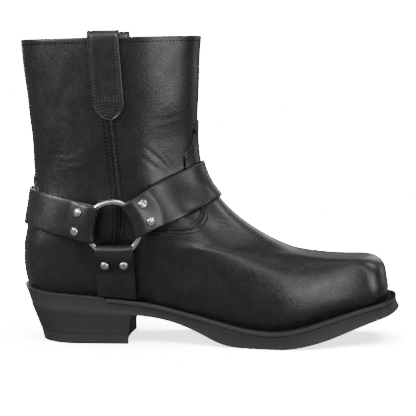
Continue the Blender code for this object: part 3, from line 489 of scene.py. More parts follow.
def crease_depth(points):
    """How far the leather is pushed in or out at each point.

    A crease is an arc in side view. Across it the depth is a soft trough with a low ridge on both
    sides; along it the depth fades towards both ends.
    """
    x = points[..., 0] * 1000.0
    z = points[..., 2] * 1000.0
    depth = np.zeros(x.shape)
    for row in CREASES:
        c = dict(zip(CREASE_COLUMNS, row))
        dx = c["x1"] - c["x0"]
        dz = c["z1"] - c["z0"]
        length = sqrt(dx * dx + dz * dz)
        t = ((x - c["x0"]) * dx + (z - c["z0"]) * dz) / length**2
        off = ((z - c["z0"]) * dx - (x - c["x0"]) * dz) / length
        off = (off - 4.0 * c["bow"] * t * (1.0 - t)) / c["breadth"]
        fade = ease(t / 0.35) * ease((1.0 - t) / 0.35)
        depth += fade * c["depth"] * (0.55 * np.exp(-((np.abs(off) - 1.9) / 0.9) ** 2) - np.exp(-off**2))
    return depth * 0.0008


def slack(points):
    """Broad, slow unevenness of worn leather: a few long waves of a tenth or two of a millimetre."""
    x = points[..., 0]
    y = points[..., 1]
    z = points[..., 2]
    high = ease((z - 0.10) / 0.05)
    wave = (np.sin(x / 0.0105 + 1.3 * np.sin(z / 0.016)) * np.sin(z / 0.0145 + y / 0.02)
            + 0.7 * np.sin(x / 0.0062 - z / 0.0088 + 0.8) * np.sin(z / 0.021 + 1.9))
    return wave * (0.00006 + 0.00013 * high)


def leather(u, v, lift=0.0):
    """Point on the worn upper, lifted off it: the smooth rings, with the creases and slack."""
    smooth = sample(DENSE, u, v)
    return smooth + sample(DENSE_NORMAL, u, v) * (lift + crease_depth(smooth) + slack(smooth))[..., None]


def hex_colour(text):
    """Linear colour of an sRGB hex colour such as #202020."""
    value = [int(text[k:k + 2], 16) / 255.0 for k in (1, 3, 5)]
    return tuple(c / 12.92 if c <= 0.04045 else ((c + 0.055) / 1.055) ** 2.4 for c in value) + (1.0,)


def add_node(tree, kind, settings=None, **links):
    """New shader node with its settings. Each link names an input, or gives its number after an i;
    its value is a constant, a socket, or a node whose first output is meant."""
    node = tree.nodes.new("ShaderNode" + kind)
    for key, value in (settings or {}).items():
        setattr(node, key, value)
    for key, value in links.items():
        numbered = key[0] == "i" and key[1:].isdigit()
        socket = node.inputs[int(key[1:]) if numbered else key.replace("_", " ")]
        if isinstance(value, bpy.types.Node):
            value = value.outputs[0]
        if isinstance(value, bpy.types.NodeSocket):
            tree.links.new(value, socket)
        else:
            socket.default_value = value
    return node


def new_material(name):
    """Empty material with a Principled shader; its tree, its shader and the Object coordinates too."""
    material = bpy.data.materials.new(name)
    material.use_nodes = True
    tree = material.node_tree
    place = add_node(tree, "TexCoord").outputs["Object"]
    return material, tree, tree.nodes["Principled BSDF"], place


def per_metre(size_mm):
    """Scale of a pattern whose parts are size_mm across."""
    return 1000.0 / size_mm


COLOURS = {"data_type": "RGBA"}
NUMBERS = {"data_type": "FLOAT"}
ADD = {"operation": "ADD"}
MULTIPLY = {"operation": "MULTIPLY"}
MULTIPLY_ADD = {"operation": "MULTIPLY_ADD"}

# Heights in metres between which the ankle's fine wrinkles come and go
WRINKLES_LOW = (0.115, 0.150)
WRINKLES_HIGH = (0.175, 0.215)


def leather_material(name, dark, light, grain_mm, grain, rough, worn, coat, wrinkled=0.0):
    """Dyed and waxed cowhide: fine pebbled grain pressed in by the hide's own cells, broad cloudy
    differences of dye and polish, scuffs where the wax has gone dull, and where it is wrinkled fine
    level lines round the ankle in patches."""
    material, tree, shader, place = new_material(name)
    cloud = add_node(tree, "TexNoise", Vector=place, Scale=per_metre(28.0), Detail=4.0, Roughness=0.55)
    mottle = add_node(tree, "TexNoise", Vector=place, Scale=per_metre(5.0), Detail=3.0, Roughness=0.6)
    both = add_node(tree, "Math", ADD, i0=cloud, i1=mottle)
    dye = add_node(tree, "MapRange", Value=both, From_Min=0.75, From_Max=1.25)
    colour = add_node(tree, "Mix", COLOURS, i0=dye, i6=hex_colour(dark), i7=hex_colour(light))
    tree.links.new(colour.outputs[2], shader.inputs["Base Color"])
    rub = add_node(tree, "TexNoise", Vector=place, Scale=per_metre(11.0), Detail=5.0, Roughness=0.65)
    dull = add_node(tree, "MapRange", Value=rub, From_Min=0.35, From_Max=0.65,
                    To_Min=rough - worn, To_Max=rough + worn)
    tree.links.new(dull.outputs[0], shader.inputs["Roughness"])
    cells = add_node(tree, "TexVoronoi", {"feature": "SMOOTH_F1"}, Vector=place, Scale=per_metre(grain_mm))
    pores = add_node(tree, "TexNoise", Vector=place, Scale=per_metre(grain_mm * 0.7),
                     Detail=4.0, Roughness=0.6)
    height = add_node(tree, "Math", ADD, i0=cells, i1=pores)
    if wrinkled:
        level = add_node(tree, "SeparateXYZ", Vector=place).outputs["Z"]
        above = add_node(tree, "MapRange", Value=level, From_Min=WRINKLES_LOW[0], From_Max=WRINKLES_LOW[1],
                         To_Max=wrinkled)
        below = add_node(tree, "MapRange", Value=level, From_Min=WRINKLES_HIGH[0],
                         From_Max=WRINKLES_HIGH[1], To_Min=1.0, To_Max=0.0)
        worked = add_node(tree, "TexNoise", Vector=place, Scale=per_metre(24.0), Detail=2.0)
        patches = add_node(tree, "MapRange", Value=worked, From_Min=0.46, From_Max=0.60)
        flat = add_node(tree, "Mapping", Vector=place, Scale=(0.16, 0.16, 1.0))
        lines = add_node(tree, "TexNoise", Vector=flat, Scale=per_metre(1.5), Detail=2.0)
        for share in (above, below, patches):
            lines = add_node(tree, "Math", MULTIPLY, i0=lines, i1=share)
        height = add_node(tree, "Math", ADD, i0=height, i1=lines)
    bump = add_node(tree, "Bump", Strength=grain, Distance=0.0004, Height=height)
    tree.links.new(bump.outputs[0], shader.inputs["Normal"])
    shader.inputs["IOR"].default_value = 1.5
    shader.inputs["Coat Weight"].default_value = coat
    shader.inputs["Coat Roughness"].default_value = 0.26
    return material


def rubber_material(name, dark, light, rough, painted_top_shade=False):
    """Matt rubber or edge leather with a fine even bloom and the faint marks of the buffing wheel;
    where asked, its upward face is painted near black and dull: painted shade for the shadow on it."""
    material, tree, shader, place = new_material(name)
    bloom = add_node(tree, "TexNoise", Vector=place, Scale=per_metre(3.0), Detail=5.0, Roughness=0.65)
    colour = add_node(tree, "Mix", COLOURS, i0=bloom, i6=hex_colour(dark), i7=hex_colour(light))
    shade = colour.outputs[2]
    dull = add_node(tree, "MapRange", Value=bloom, From_Min=0.3, From_Max=0.7,
                    To_Min=rough - 0.06, To_Max=rough + 0.06)
    # Painted shade: the upward face is mixed to near black and made fully rough, standing in for shadow
    if painted_top_shade:
        normal = add_node(tree, "NewGeometry").outputs["Normal"]
        rise = add_node(tree, "SeparateXYZ", Vector=normal).outputs["Z"]
        upward = add_node(tree, "MapRange", Value=rise, From_Min=0.55, From_Max=0.90)
        shade = add_node(tree, "Mix", COLOURS, i0=upward, i6=shade, i7=hex_colour("#050505")).outputs[2]
        dull = add_node(tree, "Mix", NUMBERS, i0=upward, i2=dull, i3=1.0)
    tree.links.new(shade, shader.inputs["Base Color"])
    tree.links.new(dull.outputs[0], shader.inputs["Roughness"])
    drawn = add_node(tree, "Mapping", Vector=place, Scale=(0.25, 0.25, 3.0))
    buffed = add_node(tree, "TexNoise", Vector=drawn, Scale=per_metre(1.4), Detail=4.0, Roughness=0.6)
    bump = add_node(tree, "Bump", Strength=0.16, Distance=0.0003, Height=buffed)
    tree.links.new(bump.outputs[0], shader.inputs["Normal"])
    shader.inputs["Specular IOR Level"].default_value = 0.4
    return material


def stack_material(name):
    """Leather heel stack, dyed black and waxed: thin level layers with dark joins between them."""
    material, tree, shader, place = new_material(name)
    level = add_node(tree, "SeparateXYZ", Vector=place).outputs["Z"]
    wave = add_node(tree, "TexNoise", Vector=place, Scale=per_metre(30.0), Detail=2.0, Roughness=0.5)
    lifted = add_node(tree, "Math", MULTIPLY_ADD, i0=wave, i1=0.0008, i2=level)
    layers = add_node(tree, "Math", {"operation": "PINGPONG"}, i0=lifted, i1=0.0023)
    join = add_node(tree, "MapRange", Value=layers, From_Max=0.0004)
    grit = add_node(tree, "TexNoise", Vector=place, Scale=per_metre(0.9), Detail=4.0, Roughness=0.6)
    colour = add_node(tree, "Mix", COLOURS, i0=grit, i6=hex_colour("#1b1b1b"), i7=hex_colour("#262626"))
    tree.links.new(colour.outputs[2], shader.inputs["Base Color"])
    height = add_node(tree, "Math", MULTIPLY_ADD, i0=join, i1=0.35, i2=grit)
    bump = add_node(tree, "Bump", Strength=0.14, Distance=0.0003, Height=height)
    tree.links.new(bump.outputs[0], shader.inputs["Normal"])
    shader.inputs["Roughness"].default_value = 0.58
    return material


def metal_material(name, colour, rough):
    """Polished nickel plate with faint rub marks, which cloud its shine here and there."""
    material, tree, shader, place = new_material(name)
    marks = add_node(tree, "TexNoise", Vector=place, Scale=per_metre(2.5), Detail=4.0, Roughness=0.6)
    dull = add_node(tree, "MapRange", Value=marks, From_Min=0.3, From_Max=0.7,
                    To_Min=rough * 0.7, To_Max=rough * 1.5)
    tree.links.new(dull.outputs[0], shader.inputs["Roughness"])
    tone = add_node(tree, "Mix", COLOURS, i0=marks, i6=hex_colour(colour), i7=hex_colour("#e4e1da"))
    tree.links.new(tone.outputs[2], shader.inputs["Base Color"])
    bump = add_node(tree, "Bump", Strength=0.03, Distance=0.0002, Height=marks)
    tree.links.new(bump.outputs[0], shader.inputs["Normal"])
    shader.inputs["Metallic"].default_value = 1.0
    return material


def thread_material(name, colour, lit, shine):
    """Waxed thread: its two strands catch the light in slanting bands."""
    material, tree, shader, place = new_material(name)
    twist = add_node(tree, "TexNoise", Vector=place, Scale=per_metre(0.5), Detail=2.0, Roughness=0.5)
    tone = add_node(tree, "Mix", COLOURS, i0=twist, i6=hex_colour(colour), i7=hex_colour(lit))
    tree.links.new(tone.outputs[2], shader.inputs["Base Color"])
    shader.inputs["Roughness"].default_value = 0.80
    shader.inputs["Specular IOR Level"].default_value = shine
    return material


def grid_quads(rows, columns, wrap_rows=False, wrap_columns=False):
    """Index quads of a grid of points, joined round when it is wrapped."""
    i = np.arange(rows if wrap_rows else rows - 1)[:, None]
    j = np.arange(columns if wrap_columns else columns - 1)[None, :]
    i2 = (i + 1) % rows
    j2 = (j + 1) % columns
    quads = [i * columns + j, i * columns + j2, i2 * columns + j2, i2 * columns + j]
    return np.stack([np.broadcast_to(q, (i.shape[0], j.shape[1])) for q in quads], axis=-1).reshape(-1, 4)


def piece(name, points, quads, material, body="boot", weld=False, sharp=None, facing=None):
    """Mesh piece from arrays, turned so that its faces look outwards, riding on its body."""
    points = np.asarray(points, float).reshape(-1, 3)
    corners = points[quads]
    normal = np.cross(corners[:, 2] - corners[:, 0], corners[:, 3] - corners[:, 1])
    away = corners.mean(axis=1) - points.mean(axis=0) if facing is None else np.asarray(facing)
    if (away * normal).sum() < 0:
        quads = quads[:, ::-1]
    mesh = bpy.data.meshes.new(name)
    mesh.vertices.add(len(points))
    mesh.vertices.foreach_set("co", points.astype(np.float32).ravel())
    mesh.loops.add(quads.size)
    mesh.loops.foreach_set("vertex_index", np.ascontiguousarray(quads, dtype=np.int32).ravel())
    mesh.polygons.add(len(quads))
    mesh.polygons.foreach_set("loop_start", np.arange(0, quads.size, 4, dtype=np.int32))
    mesh.update(calc_edges=True)
    if weld:
        build = bmesh.new()
        build.from_mesh(mesh)
        bmesh.ops.remove_doubles(build, verts=build.verts, dist=1e-6)
        build.to_mesh(mesh)
        build.free()
    mesh.shade_smooth()
    if sharp:
        mesh.set_sharp_from_angle(angle=radians(sharp))
    item = bpy.data.objects.new(name, mesh)
    bpy.context.scene.collection.objects.link(item)
    mesh.materials.append(material)
    if body:
        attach(item, body)
    return item


def dressed(item, node):
    """Let a piece stand in for the frame's node, which is hidden."""
    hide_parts(node)


def drawn_together(sections):
    """Closed sections with both ends drawn together to a point."""
    first = np.broadcast_to(sections[:1].mean(axis=1, keepdims=True), sections[:1].shape)
    last = np.broadcast_to(sections[-1:].mean(axis=1, keepdims=True), sections[-1:].shape)
    return np.concatenate([first, sections, last])


# One stitch along its length: places as shares of the length, thicknesses and rises as shares of the
# thread's radius. Each place has a ring of six points
STITCH_PLACES = np.array([-0.5, -0.40, -0.18, 0.18, 0.40, 0.5])
STITCH_THICKNESS = np.array([0.35, 0.85, 1.0, 1.0, 0.85, 0.35])
STITCH_RISE = np.array([-1.5, -0.25, 0.35, 0.35, -0.25, -1.5])
STITCH_SIDES = 6
THREAD_RADIUS = 0.00042
FINE_THREAD_RADIUS = 0.00040


def stitch_rows(name, rows, pitch, length, radius, material):
    """Lines of stitches as one mesh. Each row is (points, normals) of a line on the leather.

    A stitch is a short round bar along its line, thick in its middle, whose ends dip into the
    leather; the stitches follow each other at the pitch.
    """
    angle = np.linspace(0.0, 2 * pi, STITCH_SIDES + 1)[:-1]
    points = []
    for line, normals in rows:
        run = run_along(line)
        count = max(int(run[-1] / pitch), 1)
        at = (np.arange(count) + 0.5) * run[-1] / count
        centre = between(at, run, line)
        out = between(at, run, normals)
        ahead = between(at + pitch * 0.3, run, line) - between(at - pitch * 0.3, run, line)
        ahead /= np.linalg.norm(ahead, axis=1, keepdims=True)
        out -= (out * ahead).sum(axis=1, keepdims=True) * ahead
        out /= np.linalg.norm(out, axis=1, keepdims=True)
        across = np.cross(ahead, out)
        spine = (centre[:, None] + (STITCH_PLACES * length)[None, :, None] * ahead[:, None]
                 + (STITCH_RISE * radius)[None, :, None] * out[:, None])
        ring = (np.cos(angle)[None, None, :, None] * across[:, None, None]
                + np.sin(angle)[None, None, :, None] * out[:, None, None])
        bars = spine[:, :, None] + ring * (STITCH_THICKNESS * radius)[None, :, None, None]
        points.append(bars.reshape(-1, 3))
    points = np.concatenate(points)
    one = len(STITCH_PLACES) * STITCH_SIDES
    last = one - STITCH_SIDES
    bar = grid_quads(len(STITCH_PLACES), STITCH_SIDES, wrap_columns=True)
    end = np.array([[0, 1, 2, 3], [0, 3, 4, 5]])
    bar = np.concatenate([bar, end[:, ::-1], end + last])
    quads = (bar[None] + one * np.arange(len(points) // one)[:, None, None]).reshape(-1, 4)
    piece(name, points, quads, material)


def round_spacing(count):
    """Shares round a ring from 0 up to 1, closer together at the toe and the heel."""
    t = np.arange(count) / count
    return t - 0.4 * np.sin(4 * pi * t) / (4 * pi)


# How finely the upper's wall is drawn: columns round it, and levels outside and inside
UPPER_COLUMNS = 320
UPPER_LEVELS = 190
LINING_LEVELS = 44


def make_upper(material, lining):
    """The upper's wall: its worn outer face, a rounded rim at the collar and the lining inside."""
    u, v = np.meshgrid(round_spacing(UPPER_COLUMNS), np.linspace(0.0, 1.0, UPPER_LEVELS))
    outer = leather(u, v)
    top_u = u[0]
    out = sample(DENSE_NORMAL, top_u, np.ones(len(top_u)))
    spine = outer[-1] - out * UPPER_WALL / 2
    angle = np.radians([25, 58, 90, 122, 155])[:, None, None]
    rim = spine + UPPER_WALL / 2 * (np.cos(angle) * out + np.sin(angle) * np.array([0.0, 0.0, 1.0]))
    iu, iv = np.meshgrid(top_u, np.linspace(1.0, 0.0, LINING_LEVELS))
    inner = leather(iu, iv, -UPPER_WALL)
    grid = np.concatenate([outer, rim, inner])
    quads = grid_quads(len(grid), grid.shape[1], True, True)
    item = piece("upper_leather", grid, quads, material)
    item.data.materials.append(lining)
    row = np.arange(len(quads)) // grid.shape[1]
    inside = (row >= len(outer) + len(rim) - 1) & (row < len(grid) - 1)
    item.data.polygons.foreach_set("material_index", inside.astype(np.int32))
    dressed(item, "upper")


class Overlay:
    """Leather laid on the upper between a cut edge and the sole.

    Its columns start on the cut edge and end on the line where the upper meets the sole; its rows
    lie at set distances from the cut edge. Columns run from the outer side round to the inner one.
    """

    def __init__(self, edge, foot_place, front, count):
        sides = []
        for side in (-1, 1):
            line = np.asarray(edge[2:])
            share = np.linspace(0.0, 1.0, len(line))
            fine = np.linspace(0.0, 1.0, 700)
            x = along(through(share, line[:, 0], fine))
            z = HEEL_SEAT * 0.55 + through(share, line[:, 1], fine) * UPPER_RISE
            u, v = find_on_side(x, z, side)
            found = sample(DENSE, u, v)
            keep = np.hypot(found[:, 0] - x, found[:, 2] - z) < 0.0004
            last = int(np.nonzero(keep)[0][-1]) if keep[-1] else int(np.argmin(keep))
            u, v, found = u[:last], v[:last], found[:last]
            home = 0.5 if front else (0.0 if side < 0 else 1.0)
            steps = np.linspace(0.0, 1.0, 30)[1:]
            slope = (v[-1] - v[-12]) / max(abs(u[-1] - u[-12]), 1e-6) * abs(home - u[-1]) * 0.5
            u = np.concatenate([u, u[-1] + (home - u[-1]) * steps])
            v = np.concatenate([v, v[-1] + slope * (steps - steps**2 / 2)])
            spots = sample(DENSE, u, v)
            run = run_along(spots)
            even = np.linspace(0.0, run[-1], count)
            u = np.interp(even, run, u)
            v = np.interp(even, run, v)
            place = np.array([along(foot_place)])
            start = find_on_side(place, top_height(place), side)[0][0]
            t = even / even[-1]
            share_foot = 0.30 * t + 0.70 * t**1.7 if front else t
            foot = start + (home - start) * share_foot
            if not front and side > 0:
                u = u - 1.0
                foot = foot - 1.0
            sides.append((u, v, foot))
        (u1, v1, f1), (u2, v2, f2) = sides
        self.u = np.concatenate([u1, u2[-2::-1]])
        self.v = np.concatenate([v1, v2[-2::-1]])
        self.foot = np.concatenate([f1, f2[-2::-1]])
        steps = np.linspace(0.0, 1.0, 90)[:, None]
        line = sample(DENSE, self.u + (self.foot - self.u) * steps, self.v * (1.0 - steps))
        gaps = np.linalg.norm(np.diff(line, axis=0), axis=2)
        self.run = np.concatenate([np.zeros((1, len(self.u))), np.cumsum(gaps, axis=0)])
        self.steps = steps[:, 0]

    def at(self, distance):
        """Surface coordinates at a distance from the cut edge, for every column."""
        t = np.array([np.interp(d, self.run[:, k], self.steps) for k, d in enumerate(distance)])
        return self.u + (self.foot - self.u) * t, self.v * (1.0 - t)

    def grid(self, near, near_step, rows, height):
        """Grid of points: rows near the edge at an even step, the others spread to the sole."""
        length = self.run[-1]
        close = np.arange(0.0, near, near_step)
        rest = np.linspace(0.0, 1.0, rows)
        points = []
        for d in close:
            distance = np.minimum(np.full(len(length), d), length * 0.98)
            u, v = self.at(distance)
            points.append(leather(u, v, below_window(u, v, height(distance))))
        for share in rest:
            distance = np.minimum(near, length * 0.985) * (1.0 - share) + length * share
            u, v = self.at(distance)
            points.append(leather(u, v, below_window(u, v, height(distance))))
        u, v = self.at(length)
        points.append(leather(u, v, -0.0020 + 0.0 * u))
        under = leather(self.u, self.v, -0.0004 + 0.0 * self.u)
        return np.concatenate([[under], points])

    def line(self, distance, height, skip):
        """Line on the overlay at a distance from its edge, with its normals, for stitches.

        A share of its length is left out at both ends.
        """
        reach = np.minimum(distance, self.run[-1] * 0.98)
        u, v = self.at(reach)
        keep = slice(int(skip * len(u)), int((1.0 - skip) * len(u)))
        return leather(u, v, below_window(u, v, height(reach)))[keep], sample(DENSE_NORMAL, u, v)[keep]


# Rows of stitches as distances from the vamp's cut edge, the depth and half-breadth of the grooves that
# they lie in, and how far from the edge the leather rounds over
VAMP_ROWS = (0.0024, 0.0039, 0.0074)
VAMP_GROOVES = (0.00045, 0.00045, 0.00030)
GROOVE_BREADTH = 0.00042
EDGE_ROUND = 0.0009

# Half-breadth of the stretch behind the ring where the overlays are let in, and of its soft ends
WINDOW_HALF = 0.022
WINDOW_FADE = 0.014
LET_IN = 0.0003


def rounded_edge(distance):
    """Height of an overlay's face at a distance from its cut edge, a quarter of an ellipse there."""
    turned = 1.0 - np.clip(distance / EDGE_ROUND, 0.0, 1.0)
    return GAP + OVERLAY_THICKNESS * np.sqrt(1.0 - turned**2)


def vamp_height(distance):
    """Height of the vamp's face: a rounded cut edge, and a groove under each row of stitches."""
    height = rounded_edge(distance)
    for place, depth in zip(VAMP_ROWS, VAMP_GROOVES):
        height = height - depth * np.exp(-(((distance - place) / GROOVE_BREADTH) ** 2))
    return height


def below_window(u, v, height):
    """Height of an overlay, let into the upper behind the ring, where only the side seam shows."""
    away = np.abs(sample(DENSE, u, v)[..., 0] - float(along(RING_PLACE)))
    share = ease((away - WINDOW_HALF) / WINDOW_FADE)
    return height * share - LET_IN * (1.0 - share)


def make_overlays(material, thread):
    """Vamp with its three rows of stitches, and heel counter."""
    vamp = Overlay(VAMP_EDGE, -0.245, True, 250)
    grid = vamp.grid(0.0090, 0.0003, 112, vamp_height)
    dressed(piece("vamp_leather", grid, grid_quads(*grid.shape[:2]), material), "vamp")
    rows = [vamp.line(place, vamp_height, 0.055) for place in VAMP_ROWS]
    stitch_rows("vamp_stitches", rows, 0.0027, 0.0019, THREAD_RADIUS, thread)
    counter = Overlay(COUNTER_EDGE, -0.255, False, 150)
    grid = counter.grid(0.0060, 0.0003, 60, rounded_edge)
    item = piece("counter_leather", grid, grid_quads(*grid.shape[:2]), material)
    dressed(item, "heel_counter")


EDGE_STEPS = 5


def banded(core, thickness, bead=None):
    """Closed sections of a leather band from the grid of its middle surface, and its normals.

    The grid's first axis goes across the band and its second along it. The two faces lie half the
    thickness off the middle, and a half circle joins them at each edge. bead adds height outside.
    """
    across = np.gradient(core, axis=0)
    ahead = np.gradient(core, axis=1)
    normal = np.cross(ahead, across)
    normal /= np.maximum(np.linalg.norm(normal, axis=2, keepdims=True), 1e-12)
    side = across - (across * normal).sum(axis=2, keepdims=True) * normal
    side /= np.maximum(np.linalg.norm(side, axis=2, keepdims=True), 1e-12)
    half = thickness / 2
    angle = np.linspace(pi / 2, -pi / 2, EDGE_STEPS + 2)[1:-1][:, None, None]
    first = core[:1] + half * (np.sin(-angle) * normal[:1] - np.cos(angle) * side[:1])
    last = core[-1:] + half * (np.sin(angle) * normal[-1:] + np.cos(angle) * side[-1:])
    rise = half if bead is None else half + bead[..., None]
    loop = np.concatenate([core + normal * rise, last, (core - normal * half)[::-1], first])
    return loop.transpose(1, 0, 2), normal


def band_piece(name, sections, material, node):
    """Piece from closed sections along a band, with both ends closed."""
    grid = drawn_together(sections)
    quads = grid_quads(len(grid), grid.shape[1], False, True)
    dressed(piece(name, grid, quads, material, weld=True), node)


# Folds of the harness straps round the ring: half-breadth of the fold, how far its nose stays from
# the ring's middle, and how much nearer its two corners come
FOLDS = {
    "front": (0.0152, 0.0160, 0.0024),
    "rear": (0.0154, 0.0162, 0.0028),
    "bottom": (0.0156, 0.0152, 0.0008),
}

# Half the length of the nose's turn, its height off the ring's plane, and the runs over which a strap
# settles on the upper and spreads to its own width
NOSE_DEPTH = 0.0040
FOLD_RISE = RING_WIRE / 2 + STRAP_THICKNESS / 2 + GAP
SETTLING = 0.017
FLARE = 0.034


def strap_thread(name, side, rings, share, steps):
    """Middle line of a strap at one place across it, folded round its ring or rings.

    From under the fold it runs to the nose, turns round it in half an ellipse and comes back over
    the top. It leaves flat with the ring and settles on the upper along a smooth curve, and it
    spreads from the fold's breadth to the strap's own.
    """
    two = name != "bottom"
    way = strap_way(name)
    half, nose, bow = FOLDS[name]
    narrow = share * half
    broad = share * strap_width(name) / 2
    start = nose - bow * share**2 + NOSE_DEPTH
    length = band_line(name, narrow, side)[3]
    end = length / 2 if two else length - STRAP_FOOT_GAP
    turn = np.radians(np.arange(84, -85, -12))
    halves = []
    for which in ((side, -side) if two else (side,)):
        ring = rings[which]
        ahead, across = ring.directions(way)

        def flat(a, rise):
            """Points in the ring's plane at runs a from its middle, raised off it by rise."""
            return ring.centre + a[:, None] * ahead + across * narrow + ring.axis * rise[:, None]

        def laid(a, b, height):
            """Points over the upper on the strap's line at b, at runs a from the ring's middle."""
            run, u, v, long_way = band_line(name, b, side)
            far = a if which == side else length - a
            far = far * (long_way / length) if two else far
            return skin(np.interp(far, run, u), np.interp(far, run, v), height)

        over = np.concatenate([np.linspace(start, 0.056, 34)[:-1], np.linspace(0.056, end, steps)])
        off_ring = (over - start - 0.003) / SETTLING
        single = ease((over - FOLD_REACH + 0.006) / 0.040)
        height = layer_base() + STRAP_THICKNESS * 1.5 + STRAP_GAP - single * (STRAP_THICKNESS + STRAP_GAP)
        flare = ease((over - start) / FLARE)[:, None]
        on_upper = laid(over, narrow, height) * (1.0 - flare) + laid(over, broad, height) * flare
        settle = ease(off_ring)[:, None]
        top = flat(over, np.full(over.shape, FOLD_RISE)) * (1.0 - settle) + on_upper * settle
        under = np.linspace(start, FOLD_REACH, 16)
        settle = ease((under - start) / 0.016)[:, None]
        low = laid(under, narrow, np.full(16, layer_base() + STRAP_THICKNESS / 2))
        below = flat(under, np.full(16, -FOLD_RISE)) * (1.0 - settle) + low * settle
        bend = flat(start - NOSE_DEPTH * np.cos(turn), FOLD_RISE * np.sin(turn))[::-1]
        halves.append(np.concatenate([below[::-1], bend, top]))
    if two:
        return np.concatenate([halves[0], halves[1][-2::-1]])
    return halves[0]


def make_straps(rings, material):
    """The four harness straps."""
    edge = 1.0 - STRAP_THICKNESS / BOTTOM_STRAP_WIDTH
    across = np.linspace(-edge, edge, 15)
    for node, name, side, steps in (("front_strap", "front", -1, 56), ("rear_strap", "rear", -1, 46),
                                    ("bottom_strap_lateral", "bottom", -1, 24),
                                    ("bottom_strap_medial", "bottom", 1, 24)):
        threads = np.asarray([strap_thread(name, side, rings, share, steps) for share in across])
        sections, _ = banded(threads, STRAP_THICKNESS)
        band_piece(node + "_leather", sections, material, node)


class PullStrap:
    """Pull strap of one side: a band sewn to the upper's outside, over the collar and inside."""

    def __init__(self, side):
        self.side = side
        self.half = PULL_WIDTH / 2
        self.x = float(along((RINGS[-1][0] + RINGS[-1][2]) / 2)) - 0.0015
        self.collar = float(find_height(self.x, side))

    def outside(self, off, depth, lift):
        """Point on the outer run: off from the band's middle, at a depth below the collar."""
        x = self.x + off + PULL_DRIFT * depth / PULL_LENGTH
        u, v = find_on_side(x, self.collar - depth, self.side)
        return skin(u, v, STRAP_GAP + lift), sample(DENSE_NORMAL, u, v)

    def grid(self, across):
        """Middle surface, across by along, and the half-width at each place along."""
        half = self.half
        stand = UPPER_WALL / 2 + STRAP_GAP + PULL_THICKNESS / 2
        rounded = half * (1.0 - np.cos(np.linspace(0.02, pi / 2, 22)))
        depth = np.concatenate([PULL_LENGTH - rounded, np.linspace(PULL_LENGTH - half, 0.002, 46)[1:]])
        into_end = np.clip((depth - (PULL_LENGTH - half)) / half, 0.0, 1.0)
        wide = half * np.sqrt(np.maximum(1.0 - into_end**2, 0.0))
        inside_depth = np.linspace(0.003, PULL_INSIDE, 20)
        angle = np.radians(np.arange(12, 170, 12))
        rows = []
        for share in across:
            outer, normal = self.outside(share * wide, depth, np.full(depth.shape, PULL_THICKNESS / 2))
            x = self.x + share * half
            u, _ = find_on_side(np.array([x]), np.array([self.collar - 0.001]), self.side)
            out = sample(DENSE_NORMAL, u, np.ones(1))[0]
            rim = sample(DENSE, u, np.ones(1))[0] - out * UPPER_WALL / 2
            out = np.array([out[0], out[1], 0.0]) / np.linalg.norm(out[:2])
            rise = PULL_RISE + STRAP_GAP - PULL_THICKNESS / 2
            arch = (rim + np.cos(angle)[:, None] * out * stand
                    + np.sin(angle)[:, None] * np.array([0, 0, rise]))
            iu, iv = find_on_side(np.full(20, x), self.collar - inside_depth, self.side)
            inner = skin(iu, iv, np.full(20, -UPPER_WALL - STRAP_GAP - PULL_THICKNESS / 2))
            rows.append(np.concatenate([outer, arch, inner]))
        full = np.full(len(angle) + 20, half)
        return np.asarray(rows), np.concatenate([wide, full])


# Bead along a pull strap's edges and the groove of its stitches: distance from the edge, height and
# half-breadth of each
PULL_BEAD = (0.0014, 0.00022, 0.0007)
PULL_GROOVE = (0.0034, -0.00030, 0.0006)

# Its rows of stitches: two across it at these depths below the collar, and rows round its end, each
# with its distance from the edge and the depth where it starts
PULL_CROSS_ROWS = (0.0477, 0.0497)
PULL_END_ROWS = ((0.0034, 0.004), (0.0058, 0.0497), (0.0082, 0.0497))


def bump_at(distance, place, height, breadth):
    """Height of a soft ridge, or groove where it is negative, at a distance from an edge."""
    return height * np.exp(-(((distance - place) / breadth) ** 2))


def make_pull_straps(material, thread):
    """Pull straps with a bead along both edges, and their rows of stitches."""
    lines = []
    for side, label in ((-1, "lateral"), (1, "medial")):
        strap = PullStrap(side)
        edge = 1.0 - PULL_THICKNESS / PULL_WIDTH
        across = np.sin(np.linspace(-pi / 2, pi / 2, 33)) * edge
        grid, wide = strap.grid(across)
        to_edge = (1.0 - np.abs(across[:, None])) * wide[None, :]
        bead = bump_at(to_edge, *PULL_BEAD) + bump_at(to_edge, *PULL_GROOVE)
        _, normal = banded(grid, PULL_THICKNESS)
        if normal[16, 30, 1] * side < 0:
            grid = grid[::-1]
        sections, _ = banded(grid, PULL_THICKNESS, bead)
        node = f"pull_strap_{label}"
        band_piece(node + "_leather", sections, material, node)
        bottom = PULL_LENGTH - strap.half
        for inset, top in PULL_END_ROWS:
            radius = strap.half - inset
            turn = np.linspace(0.0, pi, 40)
            off = np.concatenate([np.full(60, radius), radius * np.cos(turn), np.full(60, -radius)])
            depth = np.concatenate([np.linspace(top, bottom, 61)[:-1], bottom + radius * np.sin(turn),
                                    np.linspace(bottom, top, 61)[1:]])
            lines.append(strap.outside(off, depth, np.full(depth.shape, PULL_THICKNESS - 0.00020)))
        off = np.linspace(-strap.half + 0.004, strap.half - 0.004, 30)
        for depth in PULL_CROSS_ROWS:
            lines.append(strap.outside(off, np.full(30, depth), np.full(30, PULL_THICKNESS)))
    stitch_rows("pull_strap_stitches", lines, 0.0027, 0.0017, FINE_THREAD_RADIUS, thread)


# Side seam across its line: half its breadth, each ridge and the groove between them as distance,
# height and half-breadth, and how far to each side its stitches run. It ends at SEAM_FOOT
SEAM_HALF = 0.0026
SEAM_RIDGE = (0.0012, 0.00105, 0.0005)
SEAM_GROOVE = (0.0, -0.0011, 0.00042)
SEAM_STITCHES = 0.0046
SEAM_FOOT = 0.074


